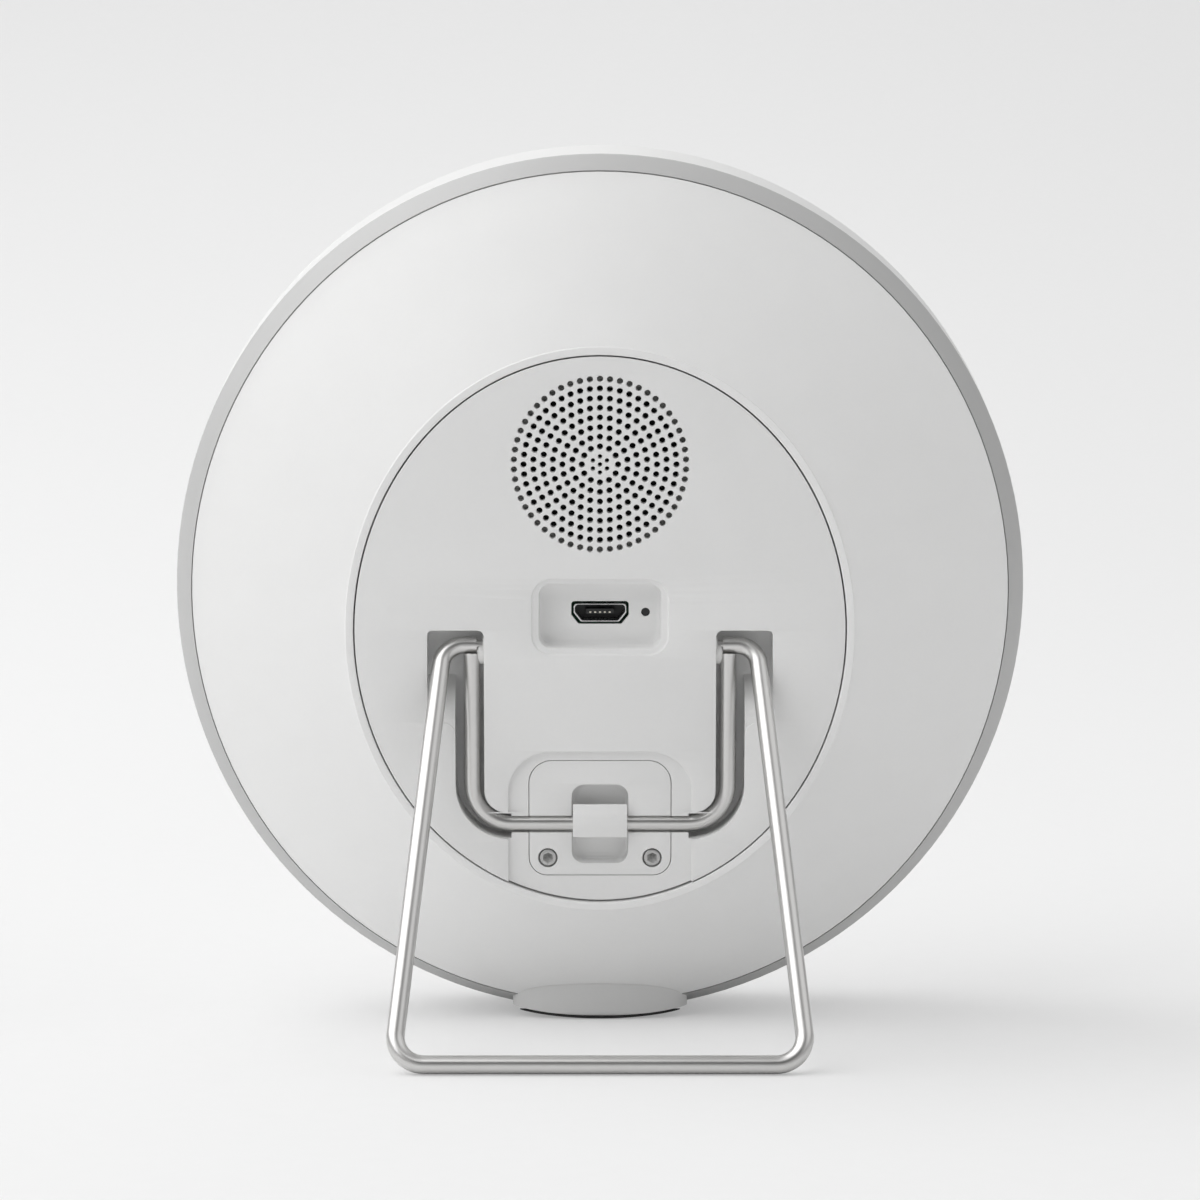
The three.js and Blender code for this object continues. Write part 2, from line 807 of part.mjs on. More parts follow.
function clipTools() {
  const arch = roundedRectangle(-archWidth / 2, archWidth / 2, -bodyHeight, archTop, archCorner);
  const pocket = roundedRectangle(
    -clipWidth / 2 - clearance,
    clipWidth / 2 + clearance,
    clipBottom - clearance,
    clipTop + clearance,
    clipCorner + clearance,
  );
  const flangeRoom = rectangle(
    -latchFlangeWidth / 2 - clearance,
    latchFlangeWidth / 2 + clearance,
    flangeBottom - latchTravel - clearance,
    flangeTop + clearance,
  );
  const coilHalf = coilDiameter / 2 + clearance;
  const coilRoom = rectangle(-coilHalf, coilHalf, flangeTop, coilTop + clearance);
  const bore = disc(screwShaft + 2 * clearance, faceDepth, coverBack - clearance, smallTurnSteps);
  return [
    slab(arch, faceDepth - overrun, clipFace),
    slab(pocket, faceDepth - overrun, clipSeat),
    slab(flangeRoom, clipFace, clipSeat + latchFlangeThickness + clearance),
    slab(coilRoom, clipFace, coilCavityDepth),
    ...bothSides(moved(bore, clipScrewAcross, 0, clipScrewHeight)),
  ];
}

function buildCover() {
  const blank = loft([
    podRing(faceDepth, -coverEdgeRound),
    podRing(faceDepth + coverEdgeRound, 0),
    podRing(coverBack, 0),
  ], false);
  const screwEnd = ledgeFront + clearance - screwBite - ledgeThickness - 2 * clearance;
  const pilot = disc(screwShaft + 2 * clearance, screwEnd, coverBack + overrun, smallTurnSteps);
  const pilots = coverScrewPlaces().map(([x, z]) => moved(pilot, x, 0, z));
  const tools = [
    ...portTools(),
    ...speakerTools(),
    ...pocketTools(),
    ...channelTools(),
    ...clipTools(),
    ...pilots,
  ];
  addPiece('pod_cover', cut(solid(blank), tools), 'cover');
}

// Port shell, its tongue, the reset switch and what sits on the main board.
function buildElectronics() {
  const portEnd = boardBack - clearance;
  const shell = slab(portOutline(0), recessFloor, portEnd);
  const hollow = slab(portOutline(-portWall), recessFloor - overrun, portEnd - portWall);
  addPiece('usb_shell', cut(solid(shell), [hollow]), 'steel');

  const tongueEnd = portEnd - portWall - clearance;
  const baseWidth = portWidth - 2 * (portWall + portCorner);
  const tongue = centredBlock(tongueWidth, tongueThickness, portCentre);
  const base = centredBlock(baseWidth, portHeight / 2, portCentre);
  const tongueShape = join(solid(slab(tongue, recessFloor + tongueSink, tongueEnd)), [
    slab(base, tongueEnd - tongueSink, tongueEnd),
  ]);
  addPiece('usb_tongue', tongueShape, 'black');

  const opening = podRing(boardBack, -ledgeWidth - clearance);
  const outline = loft([opening, { ...opening, depth: boardBack + boardThickness }], false);
  const above = centredBlock(bodyWidth, bodyHeight, boardTop + bodyHeight / 2);
  const aboveTool = slab(above, boardBack - overrun, boardBack + boardThickness + overrun);
  addPiece('main_board', cut(solid(outline), [aboveTool]), 'board');

  const plungerBack = skinBack + clearance;
  const plungerFront = plungerBack + plungerLength;
  const switchFront = boardBack - clearance;
  const plunger = disc(plungerDiameter, plungerBack, plungerFront, smallTurnSteps);
  const guideFront = plungerFront + plungerTravel + clearance;
  const guide = disc(plungerDiameter + 2 * clearance, plungerBack, guideFront, smallTurnSteps);
  const body = centredBlock(switchSize, switchSize, 0);
  const bodyShape = cut(solid(slab(body, switchFront - switchHeight, switchFront)), [guide]);
  const switchMesh = addPiece('reset_switch', bodyShape, 'black');
  switchMesh.position.set(pinholeAcross, 0, portCentre);
  const plungerMesh = addPiece('reset_plunger', solid(plunger), 'black');
  plungerMesh.position.set(pinholeAcross, 0, portCentre);

  const cellBack = boardBack + boardThickness + clearance;
  const cell = disc(cellDiameter, cellBack, cellBack + cellThickness);
  addPiece('backup_cell', solid(moved(cell, cellAcross, 0, cellHeight)), 'steel');
}

// Light engine: chassis plate, ring of LEDs, reflector and the display on its post.
function buildLightEngine() {
  const rim = rimRing(chassisBack, bandThickness + clearance);
  const plate = loft([rim, { ...rim, depth: chassisFront }], false);
  const shaftRoom = chassisScrewShaft + 2 * clearance;
  const headRoom = chassisScrewHead + 2 * clearance;
  const headSeat = chassisFront - chassisScrewHeadHeight - clearance;
  const shaftHole = disc(shaftRoom, chassisBack - overrun, chassisFront, smallTurnSteps);
  const headHole = disc(headRoom, headSeat, chassisFront + overrun, smallTurnSteps);
  const holes = chassisScrewPlaces().flatMap(([x, z]) => (
    [moved(shaftHole, x, 0, z), moved(headHole, x, 0, z)]
  ));
  const cableHole = centredRectangle(chassisOpening, chassisOpening / 2, chassisScrewBottom / 2, wall);
  holes.push(slab(cableHole, chassisBack - overrun, chassisFront + overrun));
  addPiece('chassis_plate', cut(solid(plate), holes), 'white');

  const boardOuter = bandThickness + 2 * clearance;
  const boardInner = boardOuter + ledBoardWidth;
  const boardFront = engineDepth + ledBoardThickness;
  const ring = loft([
    rimRing(engineDepth, boardOuter),
    rimRing(boardFront, boardOuter),
    rimRing(boardFront, boardInner),
    rimRing(engineDepth, boardInner),
  ], true);
  const ledCircle = rimRing(0, (boardOuter + boardInner) / 2);
  const led = centredBlock(ledSize, ledSize, 0);
  const ledBlock = slab(led, boardFront - ledHeight, boardFront + ledHeight);
  const leds = [];
  for (let place = 0; place < ledCount; place += 1) {
    const angle = (2 * Math.PI * (place + 0.5)) / ledCount;
    leds.push(moved(ledBlock, ledCircle.across * Math.cos(angle), 0, ledCircle.up * Math.sin(angle)));
  }
  addPiece('led_board', join(solid(ring), leds), 'board');

  const dishRim = boardInner + clearance;
  const holeRadius = postDiameter / 2 + clearance;
  const hole = { depth: 0, across: holeRadius, up: holeRadius, centre: 0 };
  const dish = loft([
    rimRing(engineDepth, dishRim),
    rimRing(engineDepth + reflectorThickness, dishRim),
    { ...hole, depth: engineDepth + reflectorThickness + reflectorRise },
    { ...hole, depth: engineDepth + reflectorRise },
  ], true);
  addPiece('reflector', solid(dish), 'white');

  const postFront = engineDepth + postLength;
  addPiece('display_post', solid(disc(postDiameter, engineDepth, postFront)), 'white');
  const displayBack = postFront + clearance;
  const display = centredRectangle(displayWidth, displayHeight, 0, displayCorner);
  addPiece('display_board', solid(slab(display, displayBack, displayBack + displayThickness)), 'board');
}

function buildFasteners() {
  const clipScrewBack = clipFace + clipScrewSink;
  const clipScrewLength = coverBack - 2 * clearance - clipScrewBack - screwHeadHeight;
  const small = { shaft: screwShaft, head: screwHead, headHeight: screwHeadHeight, socket: screwHex };
  const clipScrew = screwShape({ ...small, length: clipScrewLength });
  for (const [side, name] of [[-1, 'clip_screw_left'], [1, 'clip_screw_right']]) {
    const mesh = addPiece(name, clipScrew, 'steel');
    mesh.position.set(side * clipScrewAcross, clipScrewBack, clipScrewHeight);
  }

  const coverScrew = screwShape({ ...small, length: ledgeThickness + screwBite });
  const coverScrewFront = ledgeFront + clearance + screwHeadHeight;
  coverScrewPlaces().forEach(([x, z], place) => {
    const mesh = addPiece(`cover_screw_${place + 1}`, coverScrew, 'steel');
    mesh.position.set(x, coverScrewFront, z);
    mesh.rotation.z = Math.PI;
  });

  const chassisScrew = screwShape({
    shaft: chassisScrewShaft,
    head: chassisScrewHead,
    headHeight: chassisScrewHeadHeight,
    length: chassisScrewLength - chassisScrewHeadHeight,
    socket: chassisScrewShaft,
  });
  chassisScrewPlaces().forEach(([x, z], place) => {
    const mesh = addPiece(`chassis_screw_${place + 1}`, chassisScrew, 'steel');
    mesh.position.set(x, chassisFront, z);
    mesh.rotation.z = Math.PI;
  });
}

// Clip plate: flush in the arch recess, grooved for the wire, with the finger recess and latch slot.
function buildClip() {
  const outline = roundedRectangle(-clipWidth / 2, clipWidth / 2, clipBottom, clipTop, clipCorner);
  const fingerHalf = fingerWidth / 2;
  const finger = roundedRectangle(-fingerHalf, fingerHalf, fingerBottom, fingerTop, fingerCorner);
  const groove = centredBlock(clipWidth + 2 * overrun, springWire + 2 * clearance, springBar);
  const slotHalf = latchPostWidth / 2 + clearance;
  const slotBottom = strapBottom - latchTravel - clearance;
  const slot = rectangle(-slotHalf, slotHalf, slotBottom, strapRootTop + clearance);
  const fingerFloor = clipFace + fingerDepth;
  const headRoom = clipFace + clipScrewSink + screwHeadHeight + clearance;
  const counterbore = disc(screwHead + 2 * clearance, clipFace - overrun, headRoom, smallTurnSteps);
  const through = disc(screwShaft + 2 * clearance, clipFace, clipUnder + overrun, smallTurnSteps);
  const tools = [
    slab(finger, clipFace - overrun, fingerFloor),
    slab(groove, clipFace - overrun, channelFloor),
    slab(slot, fingerFloor - clearance, clipUnder + overrun),
    ...bothSides(moved(counterbore, clipScrewAcross, 0, clipScrewHeight)),
    ...bothSides(moved(through, clipScrewAcross, 0, clipScrewHeight)),
  ];
  addPiece('clip_plate', cut(solid(slab(outline, clipFace, clipUnder)), tools), 'cover');
}

// Latch: a curved strap over the wire, a post through the slot and a flange under the clip plate.
function buildLatch() {
  const inside = springDepth - springWire / 2 - clearance;
  const outside = inside - strapThickness;
  const rootEnd = clipFace + fingerDepth - clearance;
  const strap = new THREE.Shape();
  strap.moveTo(inside, strapTop);
  strap.lineTo(inside, strapBottom);
  strap.quadraticCurveTo(outside, strapBottom, outside, strapRootTop + strapRoot);
  strap.lineTo(outside, strapTop - strapThickness);
  strap.quadraticCurveTo(outside, strapTop, inside, strapTop);
  const rootHalf = latchRootWidth / 2;
  const rootOutline = rectangle(-rootHalf, rootHalf, strapBottom, strapRootTop);
  const postHalf = latchPostWidth / 2;
  const postOutline = rectangle(-postHalf, postHalf, strapBottom, strapRootTop);
  const flangeHalf = latchFlangeWidth / 2;
  const flangeOutline = rectangle(-flangeHalf, flangeHalf, flangeBottom, flangeTop);
  const shape = join(solid(crossSlab(strap, -strapWidth / 2, strapWidth / 2)), [
    slab(rootOutline, inside - strapThickness / 3, rootEnd),
    slab(postOutline, rootEnd - clearance, clipSeat + latchFlangeThickness),
    slab(flangeOutline, clipSeat, clipSeat + latchFlangeThickness),
  ]);
  addPiece('latch', shape, 'cover');
}

class Helix extends THREE.Curve {
  getPoint(share) {
    const radius = (coilDiameter - coilWire) / 2;
    const angle = 2 * Math.PI * coilTurns * share;
    const height = THREE.MathUtils.lerp(coilBottom + coilWire / 2, coilTop - coilWire / 2, share);
    return new THREE.Vector3(radius * Math.cos(angle), coilCentreDepth + radius * Math.sin(angle), height);
  }
}

function buildLatchSpring() {
  const coilSides = 4;
  const stepsPerTurn = 7;
  const corners = [];
  for (let side = 0; side < coilSides; side += 1) {
    const angle = (2 * Math.PI * side) / coilSides;
    corners.push([(coilWire / 2) * Math.cos(angle), (coilWire / 2) * Math.sin(angle)]);
  }
  const settings = { steps: coilTurns * stepsPerTurn, extrudePath: new Helix() };
  const coil = new THREE.ExtrudeGeometry(polygon(corners), settings);
  addPiece('latch_spring', solid(coil), 'steel');
}

// Detent wire: a fixed U in the channel, under the stand's pivots.
function buildDetentWire() {
  const corner = (x, z, bend) => ({ point: new THREE.Vector3(x, springDepth, z), bend });
  const path = new BentPath([
    corner(-springLeg, springTop),
    corner(-springLeg, springBar, springBend),
    corner(springLeg, springBar, springBend),
    corner(springLeg, springTop),
  ]);
  addPiece('detent_wire', solid(wireAlong(path, springWire)), 'steel');
}

function buildBushes() {
  const hole = pivotPin / 2 + clearance;
  const profile = [
    [hole, -bushLength],
    [bushShank / 2, -bushLength],
    [bushShank / 2, clearance],
    [bushFlange / 2, clearance],
    [bushFlange / 2, clearance + bushFlangeThickness / 2],
    [bushFlange / 2 - bushFlangeThickness / 2, clearance + bushFlangeThickness],
    [hole, clearance + bushFlangeThickness],
    [hole, -bushLength],
  ];
  const bush = turned(profile, smallTurnSteps);
  bush.rotateZ(-Math.PI / 2);
  bush.translate(pocketInner, pivotDepth, pivotHeight);
  addPiece('pivot_bush_right', solid(bush), 'white');
  addPiece('pivot_bush_left', solid(mirrored(bush)), 'white');
}

// Height of the lamp's origin over the table, from the lowest point of its leaning rim.
function lampHeight() {
  const rings = [...bandOutsideRings(0), ...diffuserRings(diffuserBackInset, diffuserDepth, outsideRings)];
  const heights = rings.map((ring) => ring.depth * Math.sin(lean) - ring.up * Math.cos(lean));
  return rimLift - Math.min(...heights);
}

// The stand's leg length and open angle, from where its bar meets the table.
function standOpening() {
  const sideways = new THREE.Vector3(1, 0, 0);
  const pivot = new THREE.Vector3(0, pivotDepth, pivotHeight).applyAxisAngle(sideways, lean);
  const drop = pivot.z + lampHeight() - standWire / 2;
  const toBar = new THREE.Vector3(0, -standReach, -drop).applyAxisAngle(sideways, -lean);
  return { legLength: toBar.length(), openAngle: Math.atan2(-toBar.y, -toBar.z) };
}

// Wire stand, drawn hanging from its pivot along the pod and then swung open.
function buildStand() {
  const { legLength, openAngle } = standOpening();
  const splay = (barHalf - legTop) / legLength;
  const corner = (side, down, bend) => ({
    point: new THREE.Vector3(side * (legTop + splay * down), 0, -down),
    bend,
  });
  const half = (side) => [
    { point: new THREE.Vector3(side * stubEnd, 0, 0) },
    corner(side, 0, stubBend),
    corner(side, legLength, barBend),
  ];
  const path = new BentPath([...half(-1), ...half(1).reverse()]);
  const pinLength = bushLength + clearance + bushFlangeThickness;
  const pin = disc(pivotPin, -pinLength, standWire / 2, smallTurnSteps);
  pin.rotateZ(-Math.PI / 2);
  pin.translate(stubEnd, 0, 0);
  const shape = join(solid(wireAlong(path, standWire)), bothSides(pin));
  const mesh = addPiece('stand_bail', shape, 'steel');
  mesh.position.set(0, pivotDepth, pivotHeight);
  mesh.rotation.x = -openAngle;
}

// Foot: an upright half oval behind the lower rim, cut to the leaning dome, on a rubber sole.
function footBlock(inset, bottom, top) {
  const width = footWidth / 2 - inset;
  const round = footRound - inset;
  const shoulder = Math.acos((footRound - footDepth) / round);
  const outline = new THREE.Shape();
  const middle = footRear + footRound;
  outline.absellipse(0, middle, width, round, -Math.PI / 2 - shoulder, -Math.PI / 2 + shoulder, false);
  const settings = { depth: top - bottom, bevelEnabled: false, curveSegments: turnSteps / 2 };
  const block = new THREE.ExtrudeGeometry(outline, settings);
  block.translate(0, 0, bottom - lampHeight());
  block.rotateX(-lean);
  return block;
}

function buildFoot() {
  const shifted = domeRings(-clearance * Math.SQRT2, outsideRings).reverse();
  const envelope = loft([...shifted, ...bandOutsideRings(clearance * Math.SQRT2)], false);
  const block = solid(footBlock(0, soleThickness, footHeight));
  addPiece('foot', block.subtract(solid(envelope)), 'cover');
  addPiece('foot_sole', solid(footBlock(soleInset, 0, soleThickness - clearance)), 'rubber');
}

buildDiffuser();
buildBand();
buildDome();
buildCover();
buildGrille();
buildSpeaker();
buildElectronics();
buildLightEngine();
buildFasteners();
buildClip();
buildLatch();
buildLatchSpring();
buildDetentWire();
buildBushes();
buildStand();
buildFoot();

// Lean the lamp back, then stand the whole on the table with its box centred on the origin.
lamp.rotation.x = lean;
lamp.position.z = lampHeight();
wakeUpLight.updateMatrixWorld(true);
const extent = new THREE.Box3().setFromObject(assembly, true);
assembly.position.set(0, -(extent.min.y + extent.max.y) / 2, -extent.min.z);
wakeUpLight.updateMatrixWorld(true);

export default wakeUpLight;
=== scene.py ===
import math

import bpy
from mathutils import Matrix, Vector


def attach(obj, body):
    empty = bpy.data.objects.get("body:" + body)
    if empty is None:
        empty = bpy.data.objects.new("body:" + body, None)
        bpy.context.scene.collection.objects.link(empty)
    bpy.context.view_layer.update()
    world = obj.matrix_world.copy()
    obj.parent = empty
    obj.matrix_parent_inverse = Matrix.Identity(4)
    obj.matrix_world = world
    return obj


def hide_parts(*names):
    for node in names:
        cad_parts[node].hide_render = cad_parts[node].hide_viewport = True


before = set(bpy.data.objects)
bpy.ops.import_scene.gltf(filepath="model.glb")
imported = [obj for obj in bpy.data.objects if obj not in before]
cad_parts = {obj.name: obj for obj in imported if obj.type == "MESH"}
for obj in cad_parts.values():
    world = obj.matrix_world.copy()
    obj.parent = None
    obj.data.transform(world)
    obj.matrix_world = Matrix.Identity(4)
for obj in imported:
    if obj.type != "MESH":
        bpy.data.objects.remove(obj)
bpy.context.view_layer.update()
bpy.ops.object.select_all(action="DESELECT")

mm = 0.001
mergeGap = 0.0005  # points closer than this are one, mm
lampPlace = {
    "lean": math.radians(6),  # the whole lamp leans back on its stand
    "origin": (0, 5.619 * mm, 71.468 * mm),  # middle of the dome's edge
    "face": -15.4,  # depth of the pod's face, mm behind the dome's edge
}
face = lampPlace["face"]
upright = (math.pi / 2, 0, 0)  # turns a flat drawing to face along the depth
sideways = (math.pi / 2, 0, math.pi / 2)  # turns it to face across the lamp


class Value:
    def __init__(self, finish, socket):
        self.finish = finish
        self.socket = socket

    def maths(self, operation, first, second):
        return self.finish.node("Math", {"operation": operation}, {0: first, 1: second})

    def __add__(self, other):
        return self.maths("ADD", self, other)

    def __radd__(self, other):
        return self.maths("ADD", other, self)

    def __rsub__(self, other):
        return self.maths("SUBTRACT", other, self)

    def __mul__(self, other):
        return self.maths("MULTIPLY", self, other)


class Finish:
    def __init__(self, name):
        self.material = bpy.data.materials.new(name)
        self.material.use_nodes = True
        self.tree = self.material.node_tree
        self.shader = self.tree.nodes["Principled BSDF"]

    def node(self, kind, settings=None, inputs=None, output=0):
        made = self.tree.nodes.new("ShaderNode" + kind)
        for key, value in (settings or {}).items():
            if key == "stops":
                ramp = made.color_ramp
                while len(ramp.elements) < len(value):
                    ramp.elements.new(0.5)
                for element, (place, colour) in zip(ramp.elements, value):
                    element.position = place
                    element.color = (*colour, 1)
            else:
                setattr(made, key, value)
        for key, value in (inputs or {}).items():
            self.plug(made.inputs[key], value)
        return Value(self, made.outputs[output])

    def plug(self, socket, value):
        if isinstance(value, Value):
            self.tree.links.new(value.socket, socket)
        else:
            socket.default_value = value

    def set(self, **values):
        for key, value in values.items():
            self.plug(self.shader.inputs[key.replace("_", " ")], value)

    def place(self):
        return self.node("TexCoord", output="Object")

    def noise(self, size, detail=2.0, roughness=0.5, place=None):
        inputs = {"Scale": 1 / (size * mm), "Detail": detail, "Roughness": roughness}
        return self.node("TexNoise", None, {"Vector": place or self.place(), **inputs})

    def mixColour(self, factor, first, second):
        return self.node(
            "Mix",
            {"data_type": "RGBA"},
            {0: factor, 6: (*first, 1) if isinstance(first, tuple) else first,
             7: (*second, 1) if isinstance(second, tuple) else second},
            output=2,
        )

    def bump(self, height, depth):
        return self.node("Bump", None, {"Height": height, "Distance": depth * mm})


def shade(colour, factor):
    return tuple(channel * factor for channel in colour)


def mouldedPlastic(name, colour, grain=0.16, grainDepth=0.006, rough=0.45, mottle=0.03):
    roughSpread = 0.08
    finish = Finish(name)
    place = finish.place()
    clouds = finish.noise(9, 3, 0.55, place)  # slow drift of the moulding's tone
    speck = finish.noise(grain * 2.5, 2, 0.6, place)
    spark = finish.noise(grain, 2, 0.6, place)  # spark-eroded tool texture
    tone = clouds * 0.65 + speck * 0.35
    finish.set(
        Base_Color=finish.mixColour(tone, shade(colour, 1 - mottle), shade(colour, 1 + mottle)),
        Roughness=rough - roughSpread / 2 + speck * roughSpread,
        Normal=finish.bump(spark * 0.7 + speck * 0.3, grainDepth),
    )
    finish.shader.inputs["Specular IOR Level"].default_value = 0.4
    return finish.material


def satinWire(name, colour, rough=0.3):
    finish = Finish(name)
    smear = finish.noise(6, 2, 0.5)  # slow change along the drawn wire
    finish.set(
        Base_Color=finish.mixColour(smear, shade(colour, 0.95), colour),
        Metallic=1.0,
        Roughness=rough - 0.02 + smear * 0.04,
    )
    return finish.material


def platedSteel(name, colour, rough=0.28):
    finish = Finish(name)
    brush = finish.noise(0.25, 3, 0.6)
    finish.set(
        Base_Color=finish.mixColour(brush, shade(colour, 0.85), colour),
        Metallic=1.0,
        Roughness=rough - 0.06 + brush * 0.12,
        Normal=finish.bump(brush, 0.004),
    )
    return finish.material


def softRubber(name, colour, rough=0.8):
    finish = Finish(name)
    pores = finish.noise(0.3, 3, 0.65)
    finish.set(
        Base_Color=finish.mixColour(pores, shade(colour, 0.75), shade(colour, 1.25)),
        Roughness=rough - 0.1 + pores * 0.15,
        Normal=finish.bump(pores, 0.02),
    )
    return finish.material


def circuitBoard(name, colour):
    finish = Finish(name)
    inputs = {"Vector": finish.place(), "Scale": 1 / (3 * mm)}
    tracks = finish.node("TexVoronoi", {"feature": "DISTANCE_TO_EDGE"}, inputs)
    copper = finish.node("ValToRGB", {"stops": [(0.0, (1, 1, 1)), (0.12, (0, 0, 0))]}, {0: tracks})
    finish.set(
        Base_Color=finish.mixColour(copper, colour, shade(colour, 1.7)),
        Roughness=0.5 - copper * 0.12,
        Normal=finish.bump(copper, 0.02),
    )
    return finish.material


finishes = {
    "opal": mouldedPlastic(
        "opalFront", (0.78, 0.78, 0.775), grain=0.2, grainDepth=0.003, rough=0.38
    ),
    "white": mouldedPlastic("whiteMoulding", (0.85, 0.85, 0.845), rough=0.42),
    "cover": mouldedPlastic(
        "coverMoulding", (0.805, 0.805, 0.80), grain=0.22, grainDepth=0.010, rough=0.5
    ),
    # the foot is the cover's moulding made darker: painted shade for the foot low under the lamp's
    # overhang
    "foot": mouldedPlastic(
        "footShadedMoulding", (0.68, 0.68, 0.675), grain=0.22, grainDepth=0.010, rough=0.5
    ),
    "band": mouldedPlastic("bandMoulding", (0.483, 0.483, 0.48), rough=0.42),
    "bush": mouldedPlastic("bushMoulding", (0.78, 0.78, 0.77), grainDepth=0.003, rough=0.35),
    "black": mouldedPlastic("blackMoulding", (0.02, 0.02, 0.021), rough=0.5, mottle=0.2),
    "wire": satinWire("satinWire", (0.66, 0.655, 0.645)),
    "steel": platedSteel("platedSteel", (0.68, 0.68, 0.68)),
    "satin": platedSteel("satinSteel", (0.55, 0.55, 0.545), rough=0.45),
    "contact": platedSteel("contactPlating", (0.75, 0.72, 0.62), rough=0.35),
    "magnet": platedSteel("magnetIron", (0.2, 0.2, 0.205), rough=0.5),
    "rubber": softRubber("soleRubber", (0.03, 0.03, 0.03)),
    "foam": softRubber("gasketFoam", (0.42, 0.42, 0.41), rough=0.9),
    "board": circuitBoard("coatedBoard", (0.03, 0.13, 0.07)),
}
print("finishes made:", len(finishes))


def pick(piece):
    bpy.ops.object.select_all(action="DESELECT")
    piece.select_set(True)
    bpy.context.view_layer.objects.active = piece


def applyPlace():
    bpy.ops.object.transform_apply(location=True, rotation=True, scale=True)


def editAll(piece):
    pick(piece)
    bpy.ops.object.mode_set(mode="EDIT")
    bpy.ops.mesh.select_all(action="SELECT")


def settle(piece):  # from lamp millimetres to the frame's metres
    pick(piece)
    piece.rotation_euler = (lampPlace["lean"], 0, 0)
    piece.location = lampPlace["origin"]
    piece.scale = (mm, mm, mm)
    applyPlace()


def tidyMesh(piece, angle=30):
    editAll(piece)
    bpy.ops.mesh.remove_doubles(threshold=mergeGap)
    bpy.ops.mesh.normals_make_consistent(inside=False)
    bpy.ops.object.mode_set(mode="OBJECT")
    bpy.ops.object.shade_smooth_by_angle(angle=math.radians(angle))
    return piece


def joinPieces(name, pieces):
    pick(pieces[0])
    for piece in pieces[1:]:
        piece.select_set(True)
    bpy.ops.object.join()
    pieces[0].name = name
    return pieces[0]


def dress(piece, finish, body, slot, *nodes):
    piece.data.materials.clear()
    piece.data.materials.append(finishes[finish])
    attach(piece, body)
    if nodes:
        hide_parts(*nodes)
    print("piece ready:", piece.name, len(piece.data.polygons), "faces")


def ringBody(name, rings, steps=144, looped=False):  # rings: depth, half width, half height, centre
    depth, across, up, centre = rings[0]
    bpy.ops.object.select_all(action="DESELECT")
    bpy.ops.mesh.primitive_circle_add(
        vertices=steps, radius=1, fill_type="NOTHING" if looped else "NGON", rotation=upright
    )
    piece = bpy.context.object
    piece.name = name
    applyPlace()
    editAll(piece)
    bpy.ops.transform.resize(value=(across, 1, up), center_override=(0, 0, 0))
    bpy.ops.transform.translate(value=(0, depth, centre))
    extrudeRings(rings)
    if looped:
        bpy.ops.mesh.select_all(action="SELECT")
        bpy.ops.mesh.region_to_loop()
        bpy.ops.mesh.bridge_edge_loops()
    bpy.ops.object.mode_set(mode="OBJECT")
    return tidyMesh(piece)


def roundBody(name, rings, steps, centre=0):  # rings: depth, radius
    return ringBody(name, [(depth, radius, radius, centre) for depth, radius in rings], steps)


def extrudeRings(rings):
    depth, across, up, centre = rings[0]
    for nextDepth, nextAcross, nextUp, nextCentre in rings[1:]:
        bpy.ops.mesh.extrude_region_move(
            TRANSFORM_OT_translate={"value": (0, nextDepth - depth, nextCentre - centre)}
        )
        bpy.ops.transform.resize(
            value=(nextAcross / across, 1, nextUp / up),
            center_override=(0, nextDepth, nextCentre),
        )
        depth, across, up, centre = nextDepth, nextAcross, nextUp, nextCentre


def arcPull(turn):  # length of a Bezier handle on an arc of radius 1
    return math.tan(turn / 4) * 4 / 3


def ovalArc(halfWidth, halfHeight, middle, start, span, arcs):
    step = span / arcs
    points = []
    for place in range(arcs + 1):
        angle = start + step * place
        here = Vector((halfWidth * math.cos(angle), middle + halfHeight * math.sin(angle)))
        along = Vector((-halfWidth * math.sin(angle), halfHeight * math.cos(angle))) * arcPull(step)
        left = here if place == 0 else here - along
        right = here if place == arcs else here + along
        points.append((here, left, right))
    return points


def cornerPoints(corners, places):  # corners: x, z, bend radius; a bend gives its two ends
    points = []
    count = len(corners)
    for place in places:
        x, z, bend = corners[place]
        here = Vector((x, z))
        before = (here - Vector(corners[place - 1][:2])).normalized()
        after = (Vector(corners[(place + 1) % count][:2]) - here).normalized()
        turn = before.angle(after)
        if bend <= 0 or turn < 1e-4:
            points.append((here, here, here))
            continue
        reach = bend * math.tan(turn / 2)
        pull = bend * arcPull(turn)
        entry = here - before * reach
        leave = here + after * reach
        points.append((entry, entry, entry + before * pull))
        points.append((leave, leave - after * pull, leave))
    return points


def cornerLoop(curve, corners):
    addSpline(curve, cornerPoints(corners, range(len(corners))))


def addSpline(curve, points, closed=True):
    spline = curve.splines.new("BEZIER")
    spline.bezier_points.add(len(points) - 1)
    spline.use_cyclic_u = closed
    for bezier, (here, left, right) in zip(spline.bezier_points, points):
        bezier.handle_left_type = bezier.handle_right_type = "FREE"
        bezier.co = here.to_3d()
        bezier.handle_left = left.to_3d()
        bezier.handle_right = right.to_3d()


def newCurve(name, dimensions):
    bpy.ops.object.select_all(action="DESELECT")
    bpy.ops.curve.primitive_bezier_circle_add(radius=1)
    drawing = bpy.context.object
    drawing.name = name
    drawing.data.splines.clear()
    drawing.data.dimensions = dimensions
    return drawing


def thicken(curve, thickness, edge, fine, rounds):
    curve.fill_mode = "BOTH"
    curve.resolution_u = fine
    curve.extrude = thickness / 2 - edge
    curve.bevel_depth = edge
    curve.bevel_resolution = rounds
    curve.offset = -edge


def meshFrom(drawing, turn, place=(0, 0, 0)):
    pick(drawing)
    bpy.ops.object.convert(target="MESH")
    piece = bpy.context.object
    piece.rotation_euler = turn
    piece.location = place
    applyPlace()
    return piece


